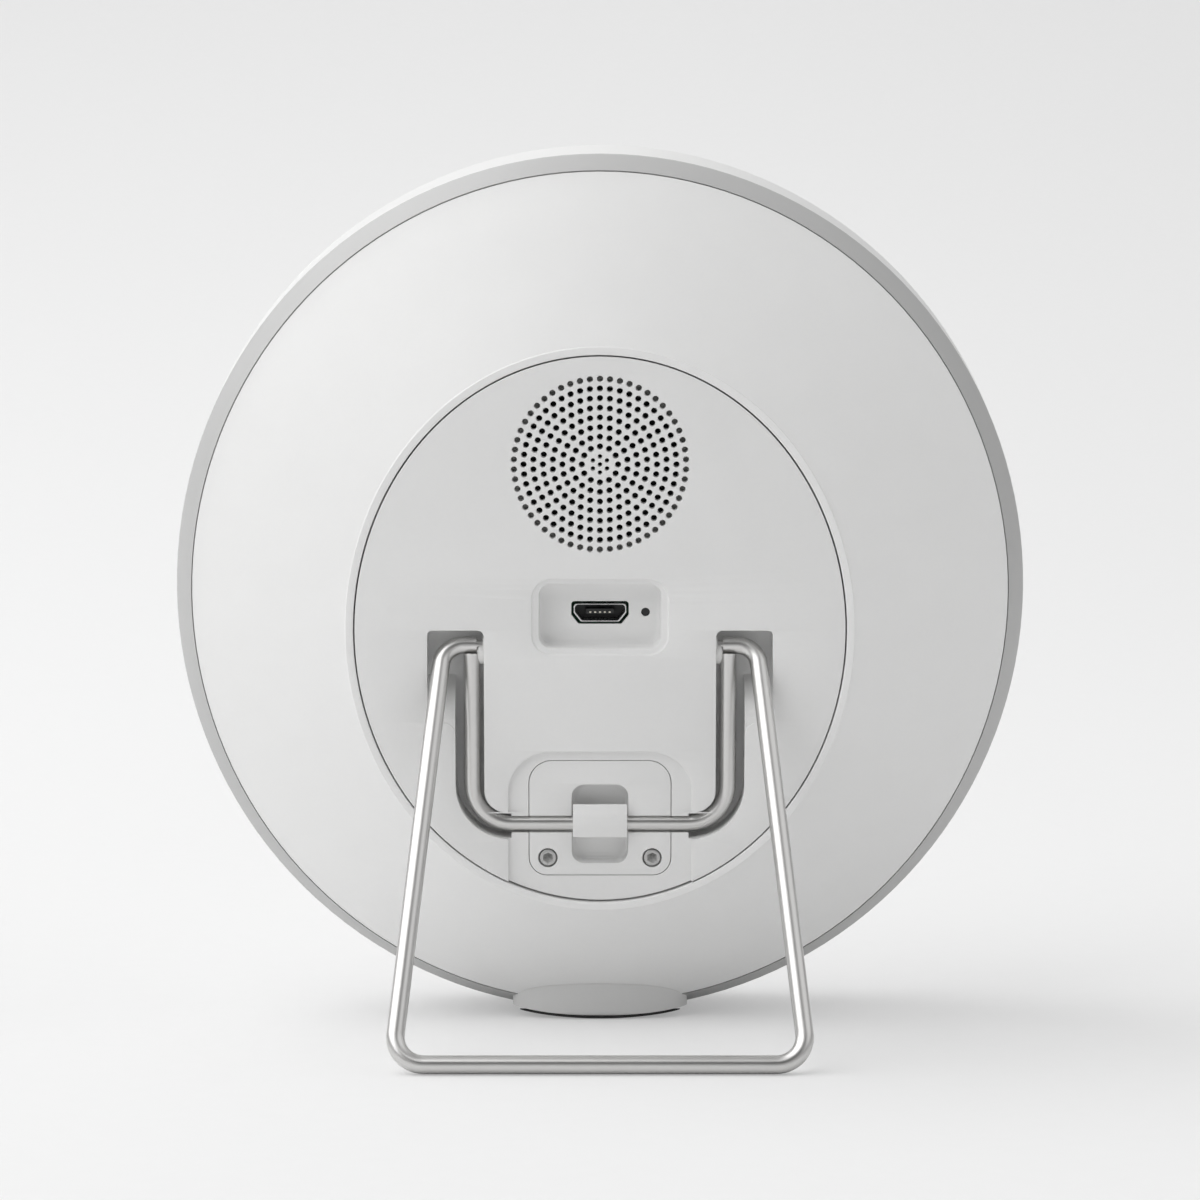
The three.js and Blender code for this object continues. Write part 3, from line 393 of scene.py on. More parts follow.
def plateFrom(drawing, fromDepth, toDepth, edge, fine, rounds):  # a drawing in x and z
    thicken(drawing.data, toDepth - fromDepth, edge, fine, rounds)
    return tidyMesh(meshFrom(drawing, upright, (0, (fromDepth + toDepth) / 2, 0)))


def cornerPlate(name, corners, fromDepth, toDepth, edge=0.0, fine=6, rounds=1):
    drawing = newCurve(name, "2D")
    cornerLoop(drawing.data, corners)
    return plateFrom(drawing, fromDepth, toDepth, edge, fine, rounds)


def boxCorners(left, right, low, high, bend):
    return [(left, low, bend), (right, low, bend), (right, high, bend), (left, high, bend)]


def bentWire(name, corners, diameter, fine):  # corners: point, bend radius
    points = []
    for place, (point, bend) in enumerate(corners):
        here = Vector(point)
        if place in (0, len(corners) - 1):
            points.append((here, here, here))
            continue
        before = (here - Vector(corners[place - 1][0])).normalized()
        after = (Vector(corners[place + 1][0]) - here).normalized()
        turn = before.angle(after)
        reach = bend * math.tan(turn / 2)
        pull = bend * arcPull(turn)
        entry = here - before * reach
        leave = here + after * reach
        points.append((entry, entry - before * pull, entry + before * pull))
        points.append((leave, leave - after * pull, leave + after * pull))
    drawing = newCurve(name, "3D")
    addSpline(drawing.data, points, False)
    drawing.data.resolution_u = fine
    drawing.data.bevel_depth = diameter / 2
    drawing.data.bevel_resolution = 6
    drawing.data.use_fill_caps = True
    pick(drawing)
    bpy.ops.object.convert(target="MESH")
    return tidyMesh(bpy.context.object, 50)


def combine(piece, other, operation):
    pick(piece)
    change = piece.modifiers.new("combine", "BOOLEAN")
    change.operation = operation
    change.solver = "MANIFOLD"
    change.object = other
    bpy.ops.object.modifier_apply(modifier=change.name)
    bpy.data.objects.remove(other)


def carve(piece, *cutters):
    for cutter in cutters:
        combine(piece, cutter, "DIFFERENCE")
    return piece


def fuse(piece, *others):
    for other in others:
        combine(piece, other, "UNION")
    return piece


def flaredCut(name, corners, across, up, middle, surface, rings):  # rings: depth below, margin
    drawing = newCurve(name, "2D")
    cornerLoop(drawing.data, corners)
    drawing.data.fill_mode = "BOTH"
    drawing.data.resolution_u = 10
    piece = meshFrom(drawing, upright)
    editAll(piece)
    bpy.ops.mesh.remove_doubles(threshold=mergeGap)
    depth, margin = rings[0]
    bpy.ops.transform.resize(
        value=((across + margin) / across, 1, (up + margin) / up),
        center_override=(0, 0, middle),
    )
    bpy.ops.transform.translate(value=(0, surface + depth, 0))
    extrudeRings([(surface + deep, across + grow, up + grow, middle) for deep, grow in rings])
    bpy.ops.object.mode_set(mode="OBJECT")
    return tidyMesh(piece)


def sliceOff(piece, point, normal):
    editAll(piece)
    bpy.ops.mesh.bisect(plane_co=point, plane_no=normal, use_fill=True, clear_outer=True)
    bpy.ops.object.mode_set(mode="OBJECT")


def softenEdges(piece, width):
    pick(piece)
    rounding = piece.modifiers.new("soften", "BEVEL")
    rounding.width = width
    rounding.segments = 2
    rounding.limit_method = "ANGLE"
    rounding.angle_limit = math.radians(60)
    bpy.ops.object.modifier_apply(modifier=rounding.name)
    return tidyMesh(piece)


def roundPeg(name, middle, length, radius, turn, steps=32):
    bpy.ops.object.select_all(action="DESELECT")
    bpy.ops.mesh.primitive_cylinder_add(
        vertices=steps, radius=radius, depth=length, location=middle, rotation=turn
    )
    peg = bpy.context.object
    peg.name = name
    applyPlace()
    return peg


def acrossPeg(name, fromX, toX, radius):  # along the hinge's axis
    middle = ((fromX + toX) / 2, pivot["depth"], pivot["height"])
    return roundPeg(name, middle, toX - fromX, radius, (0, math.pi / 2, 0))


def copyOf(piece, name):
    pick(piece)
    bpy.ops.object.duplicate()
    copy = bpy.context.object
    copy.name = name
    return copy


def mirrorCopy(piece, name):
    copy = copyOf(piece, name)
    copy.scale = (-1, 1, 1)
    applyPlace()
    return tidyMesh(copy)


def moveTo(piece, x, z):
    pick(piece)
    piece.location = (x, 0, z)
    applyPlace()
    return piece


def sidePlate(name, corners, fromX, toX, edge):  # a drawing in depth and z
    drawing = newCurve(name, "2D")
    cornerLoop(drawing.data, corners)
    thicken(drawing.data, toX - fromX, edge, 10, 2)
    return tidyMesh(meshFrom(drawing, sideways, ((fromX + toX) / 2, 0, 0)))


def standUp(piece):
    pick(piece)
    piece.rotation_euler = (lampPlace["lean"], 0, 0)
    piece.location = Vector(lampPlace["origin"]) / mm
    applyPlace()
    return piece


def arcRings(ringAt, count, start, stop):
    return [ringAt(start + (stop - start) * step / count) for step in range(count + 1)]


body = {"halfWidth": 70.0, "halfHeight": 71.8, "centre": -0.15, "wall": 2.0}


def rimRing(depth, inset):
    return (depth, body["halfWidth"] - inset, body["halfHeight"] - inset, body["centre"])


pod = {"halfWidth": 39.55, "halfHeight": 44.6, "centre": -3.82}


def podRing(depth, margin):
    return (depth, pod["halfWidth"] + margin, pod["halfHeight"] + margin, pod["centre"])


front = {
    "back": 4.84, "depth": 27.0, "flare": 1.6, "inset": 0.2, "power": 1 / 3, "rings": 26,
    "sweep": math.radians(89.6),  # stops short of a point at the pole
}


def frontRings(inset, depth):
    rings = []
    for step in range(front["rings"] + 1):
        angle = front["sweep"] * (step / front["rings"])
        forward = math.sin(angle) ** front["power"]
        narrow = math.cos(angle) ** front["power"]
        ring = rimRing(front["back"] + depth * forward, inset - front["flare"] * forward)
        rings.append((ring[0], ring[1] * narrow, ring[2] * narrow, ring[3]))
    return rings


outsideRings = frontRings(front["inset"], front["depth"])
insideRings = frontRings(front["inset"] + body["wall"], front["depth"] - body["wall"])
frontShell = ringBody("frontShell", insideRings[::-1] + outsideRings)
settle(frontShell)
dress(frontShell, "opal", "lamp_body", "diffuser_opal", "front_diffuser")


band = {"depth": 4.6, "round": 0.45, "thickness": 5.5, "gap": 0.11, "lip": 0.3, "lipOut": 0.1}
domeRim = {"halfWidth": 67.05, "halfHeight": 69.3, "centre": -0.25}


def domeEdge(depth, margin):
    halfWidth, halfHeight = domeRim["halfWidth"] + margin, domeRim["halfHeight"] + margin
    return (depth, halfWidth, halfHeight, domeRim["centre"])


def bandRings():
    corner = band["round"]
    outer = [
        domeEdge(band["lip"], band["gap"]),
        domeEdge(band["lip"] / 2, band["gap"]),
        domeEdge(0, band["gap"] + band["lipOut"]),
        rimRing(band["depth"] - 2 * corner, corner * 0.35),
    ]
    outer += arcRings(
        lambda turn: rimRing(
            band["depth"] - corner + corner * math.sin(turn), corner * (1 - math.cos(turn))
        ),
        6, -0.25, math.pi / 2,
    )
    inner = [rimRing(depth, band["thickness"]) for depth in (band["depth"], band["lip"])]
    return outer + inner


rimBand = ringBody("rimBand", bandRings(), looped=True)
settle(rimBand)
dress(rimBand, "band", "lamp_body", "band_grey", "rim_band")


dome = {
    "rise": 15.1, "fullness": 0.13, "rings": 22, "collarOut": 1.6, "collarRound": 0.22,
    "seam": 0.24, "edgeRound": 0.18, "wellDeep": 7.3, "shelfBack": 8.9, "shelfIn": -3.4,
    "wellOut": 2.3, "underCollar": (-11.7, 2.9), "inside": 2.26, "rimDrop": 0.15, "rimIn": -0.05,
}


def domeRing(share, inward):
    edge = domeEdge(0, 0)
    collar = podRing(0, dome["collarOut"])
    rise = dome["rise"] * (share + dome["fullness"] * share * (1 - share))
    blended = [a + (b - a) * share for a, b in zip(edge, collar)]
    return (inward - rise, *blended[1:])


def domeRings():
    edge, corner = dome["edgeRound"], dome["collarRound"]
    outer = [domeEdge(0, dome["rimIn"]), domeEdge(-dome["rimDrop"], 0)]
    outer += [domeRing(step / dome["rings"], 0) for step in range(1, dome["rings"] + 1)]
    crown = arcRings(
        lambda turn: podRing(
            face + corner - corner * math.sin(turn),
            dome["collarOut"] - corner * (1 - math.cos(turn)),
        ),
        6, 0.0, math.pi / 2,
    )
    lip = arcRings(
        lambda turn: podRing(
            face + edge - edge * math.cos(turn), dome["seam"] + edge - edge * math.sin(turn)
        ),
        4, 0.0, math.pi / 2,
    )
    well = [
        podRing(face + dome["wellDeep"], dome["seam"]),
        podRing(face + dome["wellDeep"], dome["shelfIn"]),
        podRing(face + dome["shelfBack"], dome["shelfIn"]),
        podRing(face + dome["shelfBack"], dome["wellOut"]),
        podRing(*dome["underCollar"]),
    ]
    inner = [domeRing(share, dome["inside"]) for share in (0.8, 0.6, 0.4, 0.2)]
    return outer + crown + lip + well + inner + [domeEdge(0, -body["wall"])]


rearDome = ringBody("rearDome", domeRings(), looped=True)
settle(rearDome)
dress(rearDome, "white", "lamp_body", "housing_white", "rear_dome")


arch = {"half": 14.88, "top": -23.55, "bend": 6.8, "sink": 0.7}
pocket = {
    "inner": 18.75, "outer": 27.85, "top": -3.6, "sink": 5.6, "rampStart": -15.2,
    "rampEnd": -18.75, "lipStart": -17.4, "lip": 0.34,
}
bush = {
    "wall": 18.75, "gap": 0.03, "flange": 1.75, "thick": 1.05, "drop": 1.35,
    "shank": 1.45, "length": 2.4, "hole": 0.95,
}
pivot = {"depth": -12.8, "height": -6.4, "pin": 0.75, "pinEnd": 16.55}
channel = {
    "outer": 23.4, "upper": -33.6, "lower": -38.0, "innerBend": 3.6, "outerBend": 8.8, "sink": 5.6,
}
grille = {
    "centre": 23.43, "hole": 1.0, "mouth": 1.2, "rings": 9, "first": 1.3, "second": 2.9,
    "step": 1.556, "skin": 1.6, "bore": 16.6, "innerSize": 0.72,
}
cover = {"skin": 0.45, "edge": 0.12, "back": 7.0, "slack": 0.02}
recess = {
    "half": 9.87, "halfHigh": 5.3, "middle": -1.26, "bend": 2.1, "sink": 3.8,
    "ledge": 0.42, "ledgeHalf": 11.0, "ledgeHigh": 6.16, "ledgeMiddle": -1.4, "ledgeBend": 3.2,
}
port = {
    "half": 4.25, "high": 0.2, "low": -2.75, "cut": 1.15, "rise": 1.45, "wall": 0.18, "gap": 0.4,
}
pinhole = {"across": 7.36, "height": -1.22, "radius": 0.71, "deep": 2.5, "soft": 0.05}
slot = {"half": 1.4, "middle": -35.7, "sink": 3.5}
clip = {
    "half": 11.48, "top": -25.16, "bottom": -44.11, "topBend": 3.7, "bottomBend": 2.9,
    "face": face + 0.7, "under": face + 4.3, "edge": 0.05, "gap": 0.12,
}


def notchCorners(side):
    return [
        (side * arch["half"], channel["lower"], 0.35),
        (side * channel["outer"], channel["lower"], channel["outerBend"]),
        (side * channel["outer"], pocket["rampEnd"], 1.9),
        (side * pocket["outer"], pocket["rampEnd"], 0.6),
        (side * pocket["outer"], pocket["top"], 0.8),
        (side * pocket["inner"], pocket["top"], 1.0),
        (side * pocket["inner"], channel["upper"], channel["innerBend"]),
        (side * arch["half"], channel["upper"], 0.3),
        (side * arch["half"], arch["top"], arch["bend"]),
    ]


def coverOutline(curve):
    halfWidth, halfHeight, centre = pod["halfWidth"], pod["halfHeight"], pod["centre"]
    notchAngle = math.asin(arch["half"] / halfWidth)
    start, span = notchAngle - math.pi / 2, 2 * math.pi - 2 * notchAngle
    points = ovalArc(halfWidth, halfHeight, centre, start, span, 12)
    loop = [(*points[-1][0], 0), *notchCorners(-1), *notchCorners(1)[::-1], (*points[0][0], 0)]
    points += cornerPoints(loop, range(1, len(loop) - 1))
    addSpline(curve, points)


def portCorners(margin):
    half, high, low = port["half"] + margin, port["high"] + margin, port["low"] - margin
    cut, rise = port["cut"], port["rise"]
    return [
        (-half, high, 0.55),
        (-half, low + rise, 0.4),
        (-half + cut, low, 0.35),
        (half - cut, low, 0.35),
        (half, low + rise, 0.4),
        (half, high, 0.55),
    ]


def buildCoverSkin():
    drawing = newCurve("podSkin", "2D")
    coverOutline(drawing.data)
    return plateFrom(drawing, face, face + cover["skin"], cover["edge"], 12, 2)


def buildCoverBlock():
    slack, edge = cover["slack"], cover["edge"]
    boreTop, behind = face + grille["skin"], face + cover["back"] + 1
    archHalf, slotEnd = arch["half"] + slack, arch["half"] + 1
    slotLow, slotHigh = slot["middle"] - slot["half"], slot["middle"] + slot["half"]
    archCorners = boxCorners(-archHalf, archHalf, -60, arch["top"] + slack, arch["bend"])
    slotCorners = boxCorners(-slotEnd, slotEnd, slotLow, slotHigh, 0.1)
    boreMiddle = (0, (boreTop + behind) / 2, grille["centre"])
    block = ringBody("podBlock", [podRing(face + 0.2, -edge), podRing(face + cover["back"], -edge)])
    cutters = [
        cornerPlate("archCut", archCorners, face - 1, clip["face"], fine=12),
        cornerPlate("slotCut", slotCorners, face, face + slot["sink"]),
        clipOutline("clipCut", clip["gap"], face, clip["under"] + 0.3),
        roundPeg("speakerBore", boreMiddle, behind - boreTop, grille["bore"], upright, 96),
        cornerPlate("chamberCut", recessCorners(1), face + recess["sink"] + 0.8, behind),
    ]
    for side in (-1, 1):
        cutters += [pocketCutter(side), lipCutter(side), channelCutter(side)]
        cutters.append(bushPeg("bushBore", side, bush["length"] + 0.05, 0.5, bush["shank"] + 0.02))
    return carve(block, *cutters)


def bushPeg(name, side, inside, outside, radius):
    low, high = sorted((side * (bush["wall"] - inside), side * (bush["wall"] + outside)))
    return acrossPeg(name, low, high, radius)


def recessCorners(margin):
    half, high = recess["half"] + margin, recess["halfHigh"] + margin
    return boxCorners(-half, half, recess["middle"] - high, recess["middle"] + high, recess["bend"])


def pocketCutter(side):
    slack = cover["slack"]
    low, high = sorted((side * (pocket["inner"] - slack), side * (pocket["outer"] + slack)))
    corners = boxCorners(low, high, pocket["rampEnd"], pocket["top"] + slack, 0.8)
    cutter = cornerPlate("pocketCut", corners, face - 1, face + pocket["sink"])
    ramp = (0, pocket["rampStart"] - pocket["lipStart"], -pocket["sink"])
    sliceOff(cutter, (0, face, pocket["lipStart"]), ramp)  # the floor ramps up towards the face
    return tidyMesh(cutter)


def lipCutter(side):
    ends = (side * (channel["outer"] - 1), side * (pocket["outer"] + cover["slack"]))
    corners = boxCorners(*sorted(ends), pocket["rampEnd"], pocket["rampStart"], 0.3)
    cutter = cornerPlate("lipCut", corners, face - 1, face + 3)
    sliceOff(cutter, (0, face, pocket["rampEnd"]), (0, 1, -pocket["lip"]))
    return tidyMesh(cutter)


def channelCutter(side):
    slack = cover["slack"]
    inside = arch["half"] - 0.5
    corners = [
        (side * inside, channel["lower"] - slack, 0),
        (side * (channel["outer"] + slack), channel["lower"] - slack, channel["outerBend"]),
        (side * (channel["outer"] + slack), pocket["top"] - 3, 0),
        (side * (pocket["inner"] - slack), pocket["top"] - 3, 0),
        (side * (pocket["inner"] - slack), channel["upper"] + slack, channel["innerBend"]),
        (side * inside, channel["upper"] + slack, 0),
    ]
    return cornerPlate("channelCut", corners, face - 1, face + channel["sink"], fine=12)


def recessCutter():
    floor, ledge = recess["sink"], recess["ledge"]
    rings = [
        (floor, -0.9), (floor - 0.08, -0.5), (floor - 0.3, -0.18), (floor - 0.7, -0.04),
        (ledge + 0.22, 0.0), (ledge + 0.09, 0.03), (ledge + 0.01, 0.11),
        (ledge - 0.03, 0.2), (ledge - 0.33, 0.24),
    ]
    size = recess["half"], recess["halfHigh"], recess["middle"]
    return flaredCut("recessCut", recessCorners(0), *size, face, rings)


def ledgeCutter():
    half, high, middle = recess["ledgeHalf"], recess["ledgeHigh"], recess["ledgeMiddle"]
    ledge = recess["ledge"]
    rings = [
        (ledge, -0.22), (ledge - 0.04, -0.1), (ledge - 0.14, -0.01),
        (0.14, 0.03), (0.04, 0.1), (0.0, 0.24), (-0.5, 0.3),
    ]
    corners = boxCorners(-half, half, middle - high, middle + high, recess["ledgeBend"])
    return flaredCut("ledgeCut", corners, half, high, middle, face, rings)


def grillePlaces(fromRing, toRing):
    places = [(0.0, grille["centre"])] if fromRing == 0 else []
    for ring in range(max(fromRing, 1), toRing + 1):
        radius = grille["first"] if ring == 1 else grille["second"] + grille["step"] * (ring - 2)
        for place in range(6 * ring):
            angle = math.pi / 2 + math.pi * place / (3 * ring)
            places.append((radius * math.cos(angle), grille["centre"] + radius * math.sin(angle)))
    return places


def grilleCutter(fromRing, toRing, size):
    hole, mouth = grille["hole"] * size / 2, grille["mouth"] * size / 2
    places = grillePlaces(fromRing, toRing)
    x, z = places[0]
    rings = [
        (face - 0.3, mouth + 0.1), (face, mouth),
        (face + 0.14, hole), (face + grille["skin"] + 0.5, hole),
    ]
    cutter = moveTo(roundBody("grilleCut", rings, 14), x, z)
    editAll(cutter)
    for nextX, nextZ in places[1:]:
        bpy.ops.mesh.duplicate_move(TRANSFORM_OT_translate={"value": (nextX - x, 0, nextZ - z)})
        x, z = nextX, nextZ
    bpy.ops.object.mode_set(mode="OBJECT")
    return cutter


def clipOutline(name, margin, fromDepth, toDepth, edge=0.0):
    half, low, high = clip["half"] + margin, clip["bottom"] - margin, clip["top"] + margin
    lowBend, highBend = clip["bottomBend"] + margin, clip["topBend"] + margin
    corners = [
        (-half, low, lowBend), (half, low, lowBend),
        (half, high, highBend), (-half, high, highBend),
    ]
    return cornerPlate(name, corners, fromDepth, toDepth, edge, fine=12, rounds=2)


def pinholeCutter(surface):
    radius, soft = pinhole["radius"], pinhole["soft"]
    rings = [
        (surface - 0.4, radius + soft * 1.5), (surface, radius + soft),
        (surface + soft, radius), (surface + pinhole["deep"], radius),
    ]
    return moveTo(roundBody("pinholeCut", rings, 32), pinhole["across"], pinhole["height"])


def buildCover():
    piece = fuse(buildCoverSkin(), buildCoverBlock())
    floor = face + recess["sink"]
    return carve(
        piece,
        ledgeCutter(),
        recessCutter(),
        cornerPlate("portCut", portCorners(port["gap"]), floor - 0.5, floor + 2.5),
        pinholeCutter(floor),
        grilleCutter(0, 1, grille["innerSize"]),
        grilleCutter(2, grille["rings"], 1.0),
    )


podCover = buildCover()
podCover.name = "podCover"
tidyMesh(podCover)
settle(podCover)
dress(podCover, "cover", "lamp_body", "cover_grey", "pod_cover", "speaker_grille")


finger = {"half": 4.55, "halfHigh": 6.5, "middle": -35.67, "bend": 2.0, "sink": 3.1}
clipScrew = {
    "across": 8.47, "height": -41.31, "head": 1.38, "sink": 0.12, "bore": 1.58, "shaftBore": 1.1,
    "shaft": 0.8, "length": 4.9, "seat": 0.9, "edge": 0.22, "hex": 0.86, "hexSink": 0.85,
}


def buildClipPlate():
    plate = clipOutline("clipPlate", 0, clip["face"], clip["under"], clip["edge"])
    floor = finger["sink"]
    fingerRings = [
        (floor, -1.1), (floor - 0.12, -0.55), (floor - 0.5, -0.14), (floor - 1.0, 0.0),
        (0.14, 0.02), (0.04, 0.07), (0.0, 0.16), (-0.5, 0.2),
    ]
    half, high, middle = finger["half"], finger["halfHigh"], finger["middle"]
    corners = boxCorners(-half, half, middle - high, middle + high, finger["bend"])
    fingerCut = flaredCut("fingerCut", corners, half, high, middle, clip["face"], fingerRings)
    half, high, middle = clip["half"] + 1, slot["half"], slot["middle"]
    corners = boxCorners(-half, half, middle - high, middle + high, 0.2)
    floor = slot["sink"] - arch["sink"]
    grooveRings = [(floor, 0.0), (0.12, 0.0), (0.03, 0.05), (0.0, 0.12), (-0.5, 0.15)]
    grooveCut = flaredCut("grooveCut", corners, half, high, middle, clip["face"], grooveRings)
    bores = [screwBore(side * clipScrew["across"], clipScrew["height"]) for side in (-1, 1)]
    return carve(plate, joinPieces("screwBores", bores), fingerCut, grooveCut)


def screwBore(x, z):
    surface, radius, shaft = clip["face"], clipScrew["bore"], clipScrew["shaftBore"]
    rings = [
        (surface - 0.4, radius + 0.15), (surface, radius + 0.1), (surface + 0.1, radius),
        (surface + 1.4, radius), (surface + 1.42, shaft), (clip["under"] + 1, shaft),
    ]
    return moveTo(roundBody("screwBore", rings, 40), x, z)


clipPlate = tidyMesh(buildClipPlate())
settle(clipPlate)
dress(clipPlate, "cover", "lamp_body", "cover_grey", "clip_plate")


def buildClipScrew():
    top, head = clip["face"] + clipScrew["sink"], clipScrew["head"]
    shaft, seat, edge = clipScrew["shaft"], clipScrew["seat"], clipScrew["edge"]
    rings = [
        (top + clipScrew["length"], shaft), (top + seat + 0.05, shaft),
        (top + seat, head - 0.1), (top + seat - 0.1, head), (top + edge, head),
    ]
    for turn in (0.5, 1.0, 1.45):
        rings.append((top + edge - edge * math.sin(turn), head - edge * (1 - math.cos(turn))))
    screw = roundBody("clipScrew", rings, 48)
    hexagon, deep = clipScrew["hex"], top + clipScrew["hexSink"]
    hexRings = [
        (top - 0.2, hexagon + 0.1), (top, hexagon + 0.03), (top + 0.05, hexagon), (deep, 0.05),
    ]
    return tidyMesh(carve(screw, roundBody("hexCut", hexRings, 6)))


screwModel = buildClipScrew()
screwPlaces = ((-1, "clipScrewLeft", "clip_screw_left"), (1, "clipScrewRight", "clip_screw_right"))
for side, name, node in screwPlaces:
    clipScrewPiece = copyOf(screwModel, name)
    moveTo(clipScrewPiece, side * clipScrew["across"], clipScrew["height"])
    settle(clipScrewPiece)
    dress(clipScrewPiece, "satin", "lamp_body", "hardware_steel", node)
bpy.data.objects.remove(screwModel)


latch = {
    "half": 4.39, "top": -32.25, "bottom": -37.55, "crest": -35.4, "shoulder": 1.7,
    "inside": -15.1, "outside": -16.2, "edge": 0.08, "rootTop": -37.1, "rootHalf": 2.6,
}


def buildLatch():
    inside, outside, half = latch["inside"], latch["outside"], latch["half"]
    top, bottom, edge = latch["top"], latch["bottom"], latch["edge"]
    corners = [  # depth, z, bend
        (inside, top, 0.12), (inside - 0.3, top + 0.02, 0.2),
        (outside, top - latch["shoulder"], 2.6), (outside - 0.16, latch["crest"], 5),
        (outside + 0.1, bottom, 0.12), (inside, bottom, 0.1),
    ]
    strap = sidePlate("latchStrap", corners, -half, half, edge)
    rootHalf, rootEnd = latch["rootHalf"], clip["face"] + finger["sink"] - 0.3
    corners = boxCorners(-rootHalf, rootHalf, bottom + edge, latch["rootTop"], 0.1)
    return fuse(strap, cornerPlate("latchRoot", corners, inside - 0.4, rootEnd))


latchStrap = tidyMesh(buildLatch())
latchStrap.name = "latchStrap"
settle(latchStrap)
dress(latchStrap, "cover", "latch_slider", "cover_grey", "latch")


portPlace = {"floor": face + recess["sink"] - 0.08, "end": -8.4}


def buildPortShell():
    drawing = newCurve("portShell", "2D")
    cornerLoop(drawing.data, portCorners(0))
    cornerLoop(drawing.data, portCorners(-port["wall"]))
    return plateFrom(drawing, portPlace["floor"] - 0.03, portPlace["end"], 0.05, 6, 1)


portShell = buildPortShell()
settle(portShell)
dress(portShell, "steel", "lamp_body", "hardware_steel", "usb_shell")


tongue = {"half": 2.3, "low": -1.62, "high": -0.77, "bend": 0.12, "edge": 0.06, "sink": 0.7}
contact = {"half": 0.17, "low": -1.44, "high": -1.18, "bend": 0.1, "edge": 0.03, "pitch": 0.78}


def buildPortTongue():
    floor, end = portPlace["floor"], portPlace["end"]
    sides = -tongue["half"], tongue["half"], tongue["low"], tongue["high"]
    corners = boxCorners(*sides, tongue["bend"])
    blade = cornerPlate("portTongue", corners, floor + tongue["sink"], end - 0.4, tongue["edge"])
    lining = portCorners(-port["wall"] - 0.02)
    return fuse(blade, cornerPlate("portBack", lining, floor + 2.6, end - 0.3))


def buildContacts():
    floor = portPlace["floor"]
    sides = -contact["half"], contact["half"], contact["low"], contact["high"]
    corners = boxCorners(*sides, contact["bend"])
    model = cornerPlate("portContact", corners, floor + 0.62, floor + 2.4, contact["edge"])
    row = []
    for place in range(-2, 3):
        row.append(moveTo(copyOf(model, "portContact"), place * contact["pitch"], 0))
    bpy.data.objects.remove(model)
    return joinPieces("portContacts", row)


portTongue = tidyMesh(buildPortTongue())
portTongue.name = "portTongue"
settle(portTongue)
dress(portTongue, "black", "lamp_body", "black_plastic", "usb_tongue")

portContacts = buildContacts()
settle(portContacts)
dress(portContacts, "contact", "lamp_body", "hardware_steel")


stand = {
    "wire": 2.9, "stub": 19.9, "legTop": 25.3, "stubBend": 3.6, "barHalf": 32.2, "leg": 71.18,
    "barBend": 4.5, "open": math.radians(34.9), "endRound": 0.25, "pinOverlap": 0.6,
}


def standCorners(side):
    hanging = [
        ((stand["stub"], 0, 0), 0),
        ((stand["legTop"], 0, 0), stand["stubBend"]),
        ((stand["barHalf"], 0, -stand["leg"]), stand["barBend"]),
    ]
    swing = Matrix.Rotation(-stand["open"], 3, "X")
    axis = Vector((0, pivot["depth"], pivot["height"]))
    return [
        (swing @ Vector((side * x, depth, height)) + axis, bend)
        for (x, depth, height), bend in hanging
    ]


def buildStandWire():
    corners = standCorners(-1) + standCorners(1)[::-1]
    wire = softenEdges(bentWire("standWire", corners, stand["wire"], 14), stand["endRound"])
    pins = []
    for side in (-1, 1):
        ends = sorted((side * pivot["pinEnd"], side * (stand["stub"] + stand["pinOverlap"])))
        pins.append(acrossPeg("standPin", *ends, pivot["pin"]))
    return fuse(wire, *pins)


standWire = tidyMesh(buildStandWire(), 40)
settle(standWire)
dress(standWire, "wire", "stand", "wire_steel", "stand_bail")


detent = {
    "wire": 2.7, "depth": -13.5, "leg": 20.72, "top": -7.2, "bar": -35.7, "bend": 6.3,
    "seat": -7.95, "slant": 0.25, "endRound": 0.08,
}


def buildDetentWire():
    depth, leg = detent["depth"], detent["leg"]
    corners = [
        ((-leg, depth, detent["top"]), 0), ((-leg, depth, detent["bar"]), detent["bend"]),
        ((leg, depth, detent["bar"]), detent["bend"]), ((leg, depth, detent["top"]), 0),
    ]
    wire = bentWire("detentWire", corners, detent["wire"], 16)
    seat = (0, pivot["depth"], detent["seat"])
    sliceOff(wire, seat, (0, detent["slant"], 1))  # the ends slant under the stand's stubs
    return softenEdges(tidyMesh(wire, 50), detent["endRound"])


detentWire = buildDetentWire()
settle(detentWire)
dress(detentWire, "wire", "lamp_body", "wire_steel", "detent_wire")


def buildBush():
    start, flange, thick = bush["gap"], bush["flange"], bush["thick"]
    rings = [(start, flange)] + [
        (start + thick * (0.45 + 0.55 * math.sin(turn)), flange - 0.5 * (1 - math.cos(turn)))
        for turn in (0.0, 0.4, 0.8, 1.2, math.pi / 2)
    ]
    piece = roundBody("pivotBush", rings, 48, -bush["drop"])
    pick(piece)
    piece.rotation_euler = (0, 0, -math.pi / 2)
    piece.location = (bush["wall"], pivot["depth"], pivot["height"])
    applyPlace()
    fuse(piece, bushPeg("bushShank", 1, bush["length"], 0.2, bush["shank"]))
    hole = bushPeg("bushHole", 1, bush["length"] + 1, thick + 1, bush["hole"])
    return tidyMesh(carve(piece, hole))


bushRight = buildBush()
bushLeft = mirrorCopy(bushRight, "bushLeft")
bushRight.name = "bushRight"
for bushPiece, node in ((bushRight, "pivot_bush_right"), (bushLeft, "pivot_bush_left")):
    settle(bushPiece)
    dress(bushPiece, "bush", "lamp_body", "housing_white", node)


foot = {
    "half": 14.6, "round": 5.6, "rear": 9.0, "depth": 5.2, "bottom": 0.55, "top": 9.0,
    "rocker": 95.0, "edge": 0.6, "soleInset": 0.7, "soleEdge": 0.05, "soleOverlap": 0.4,
}


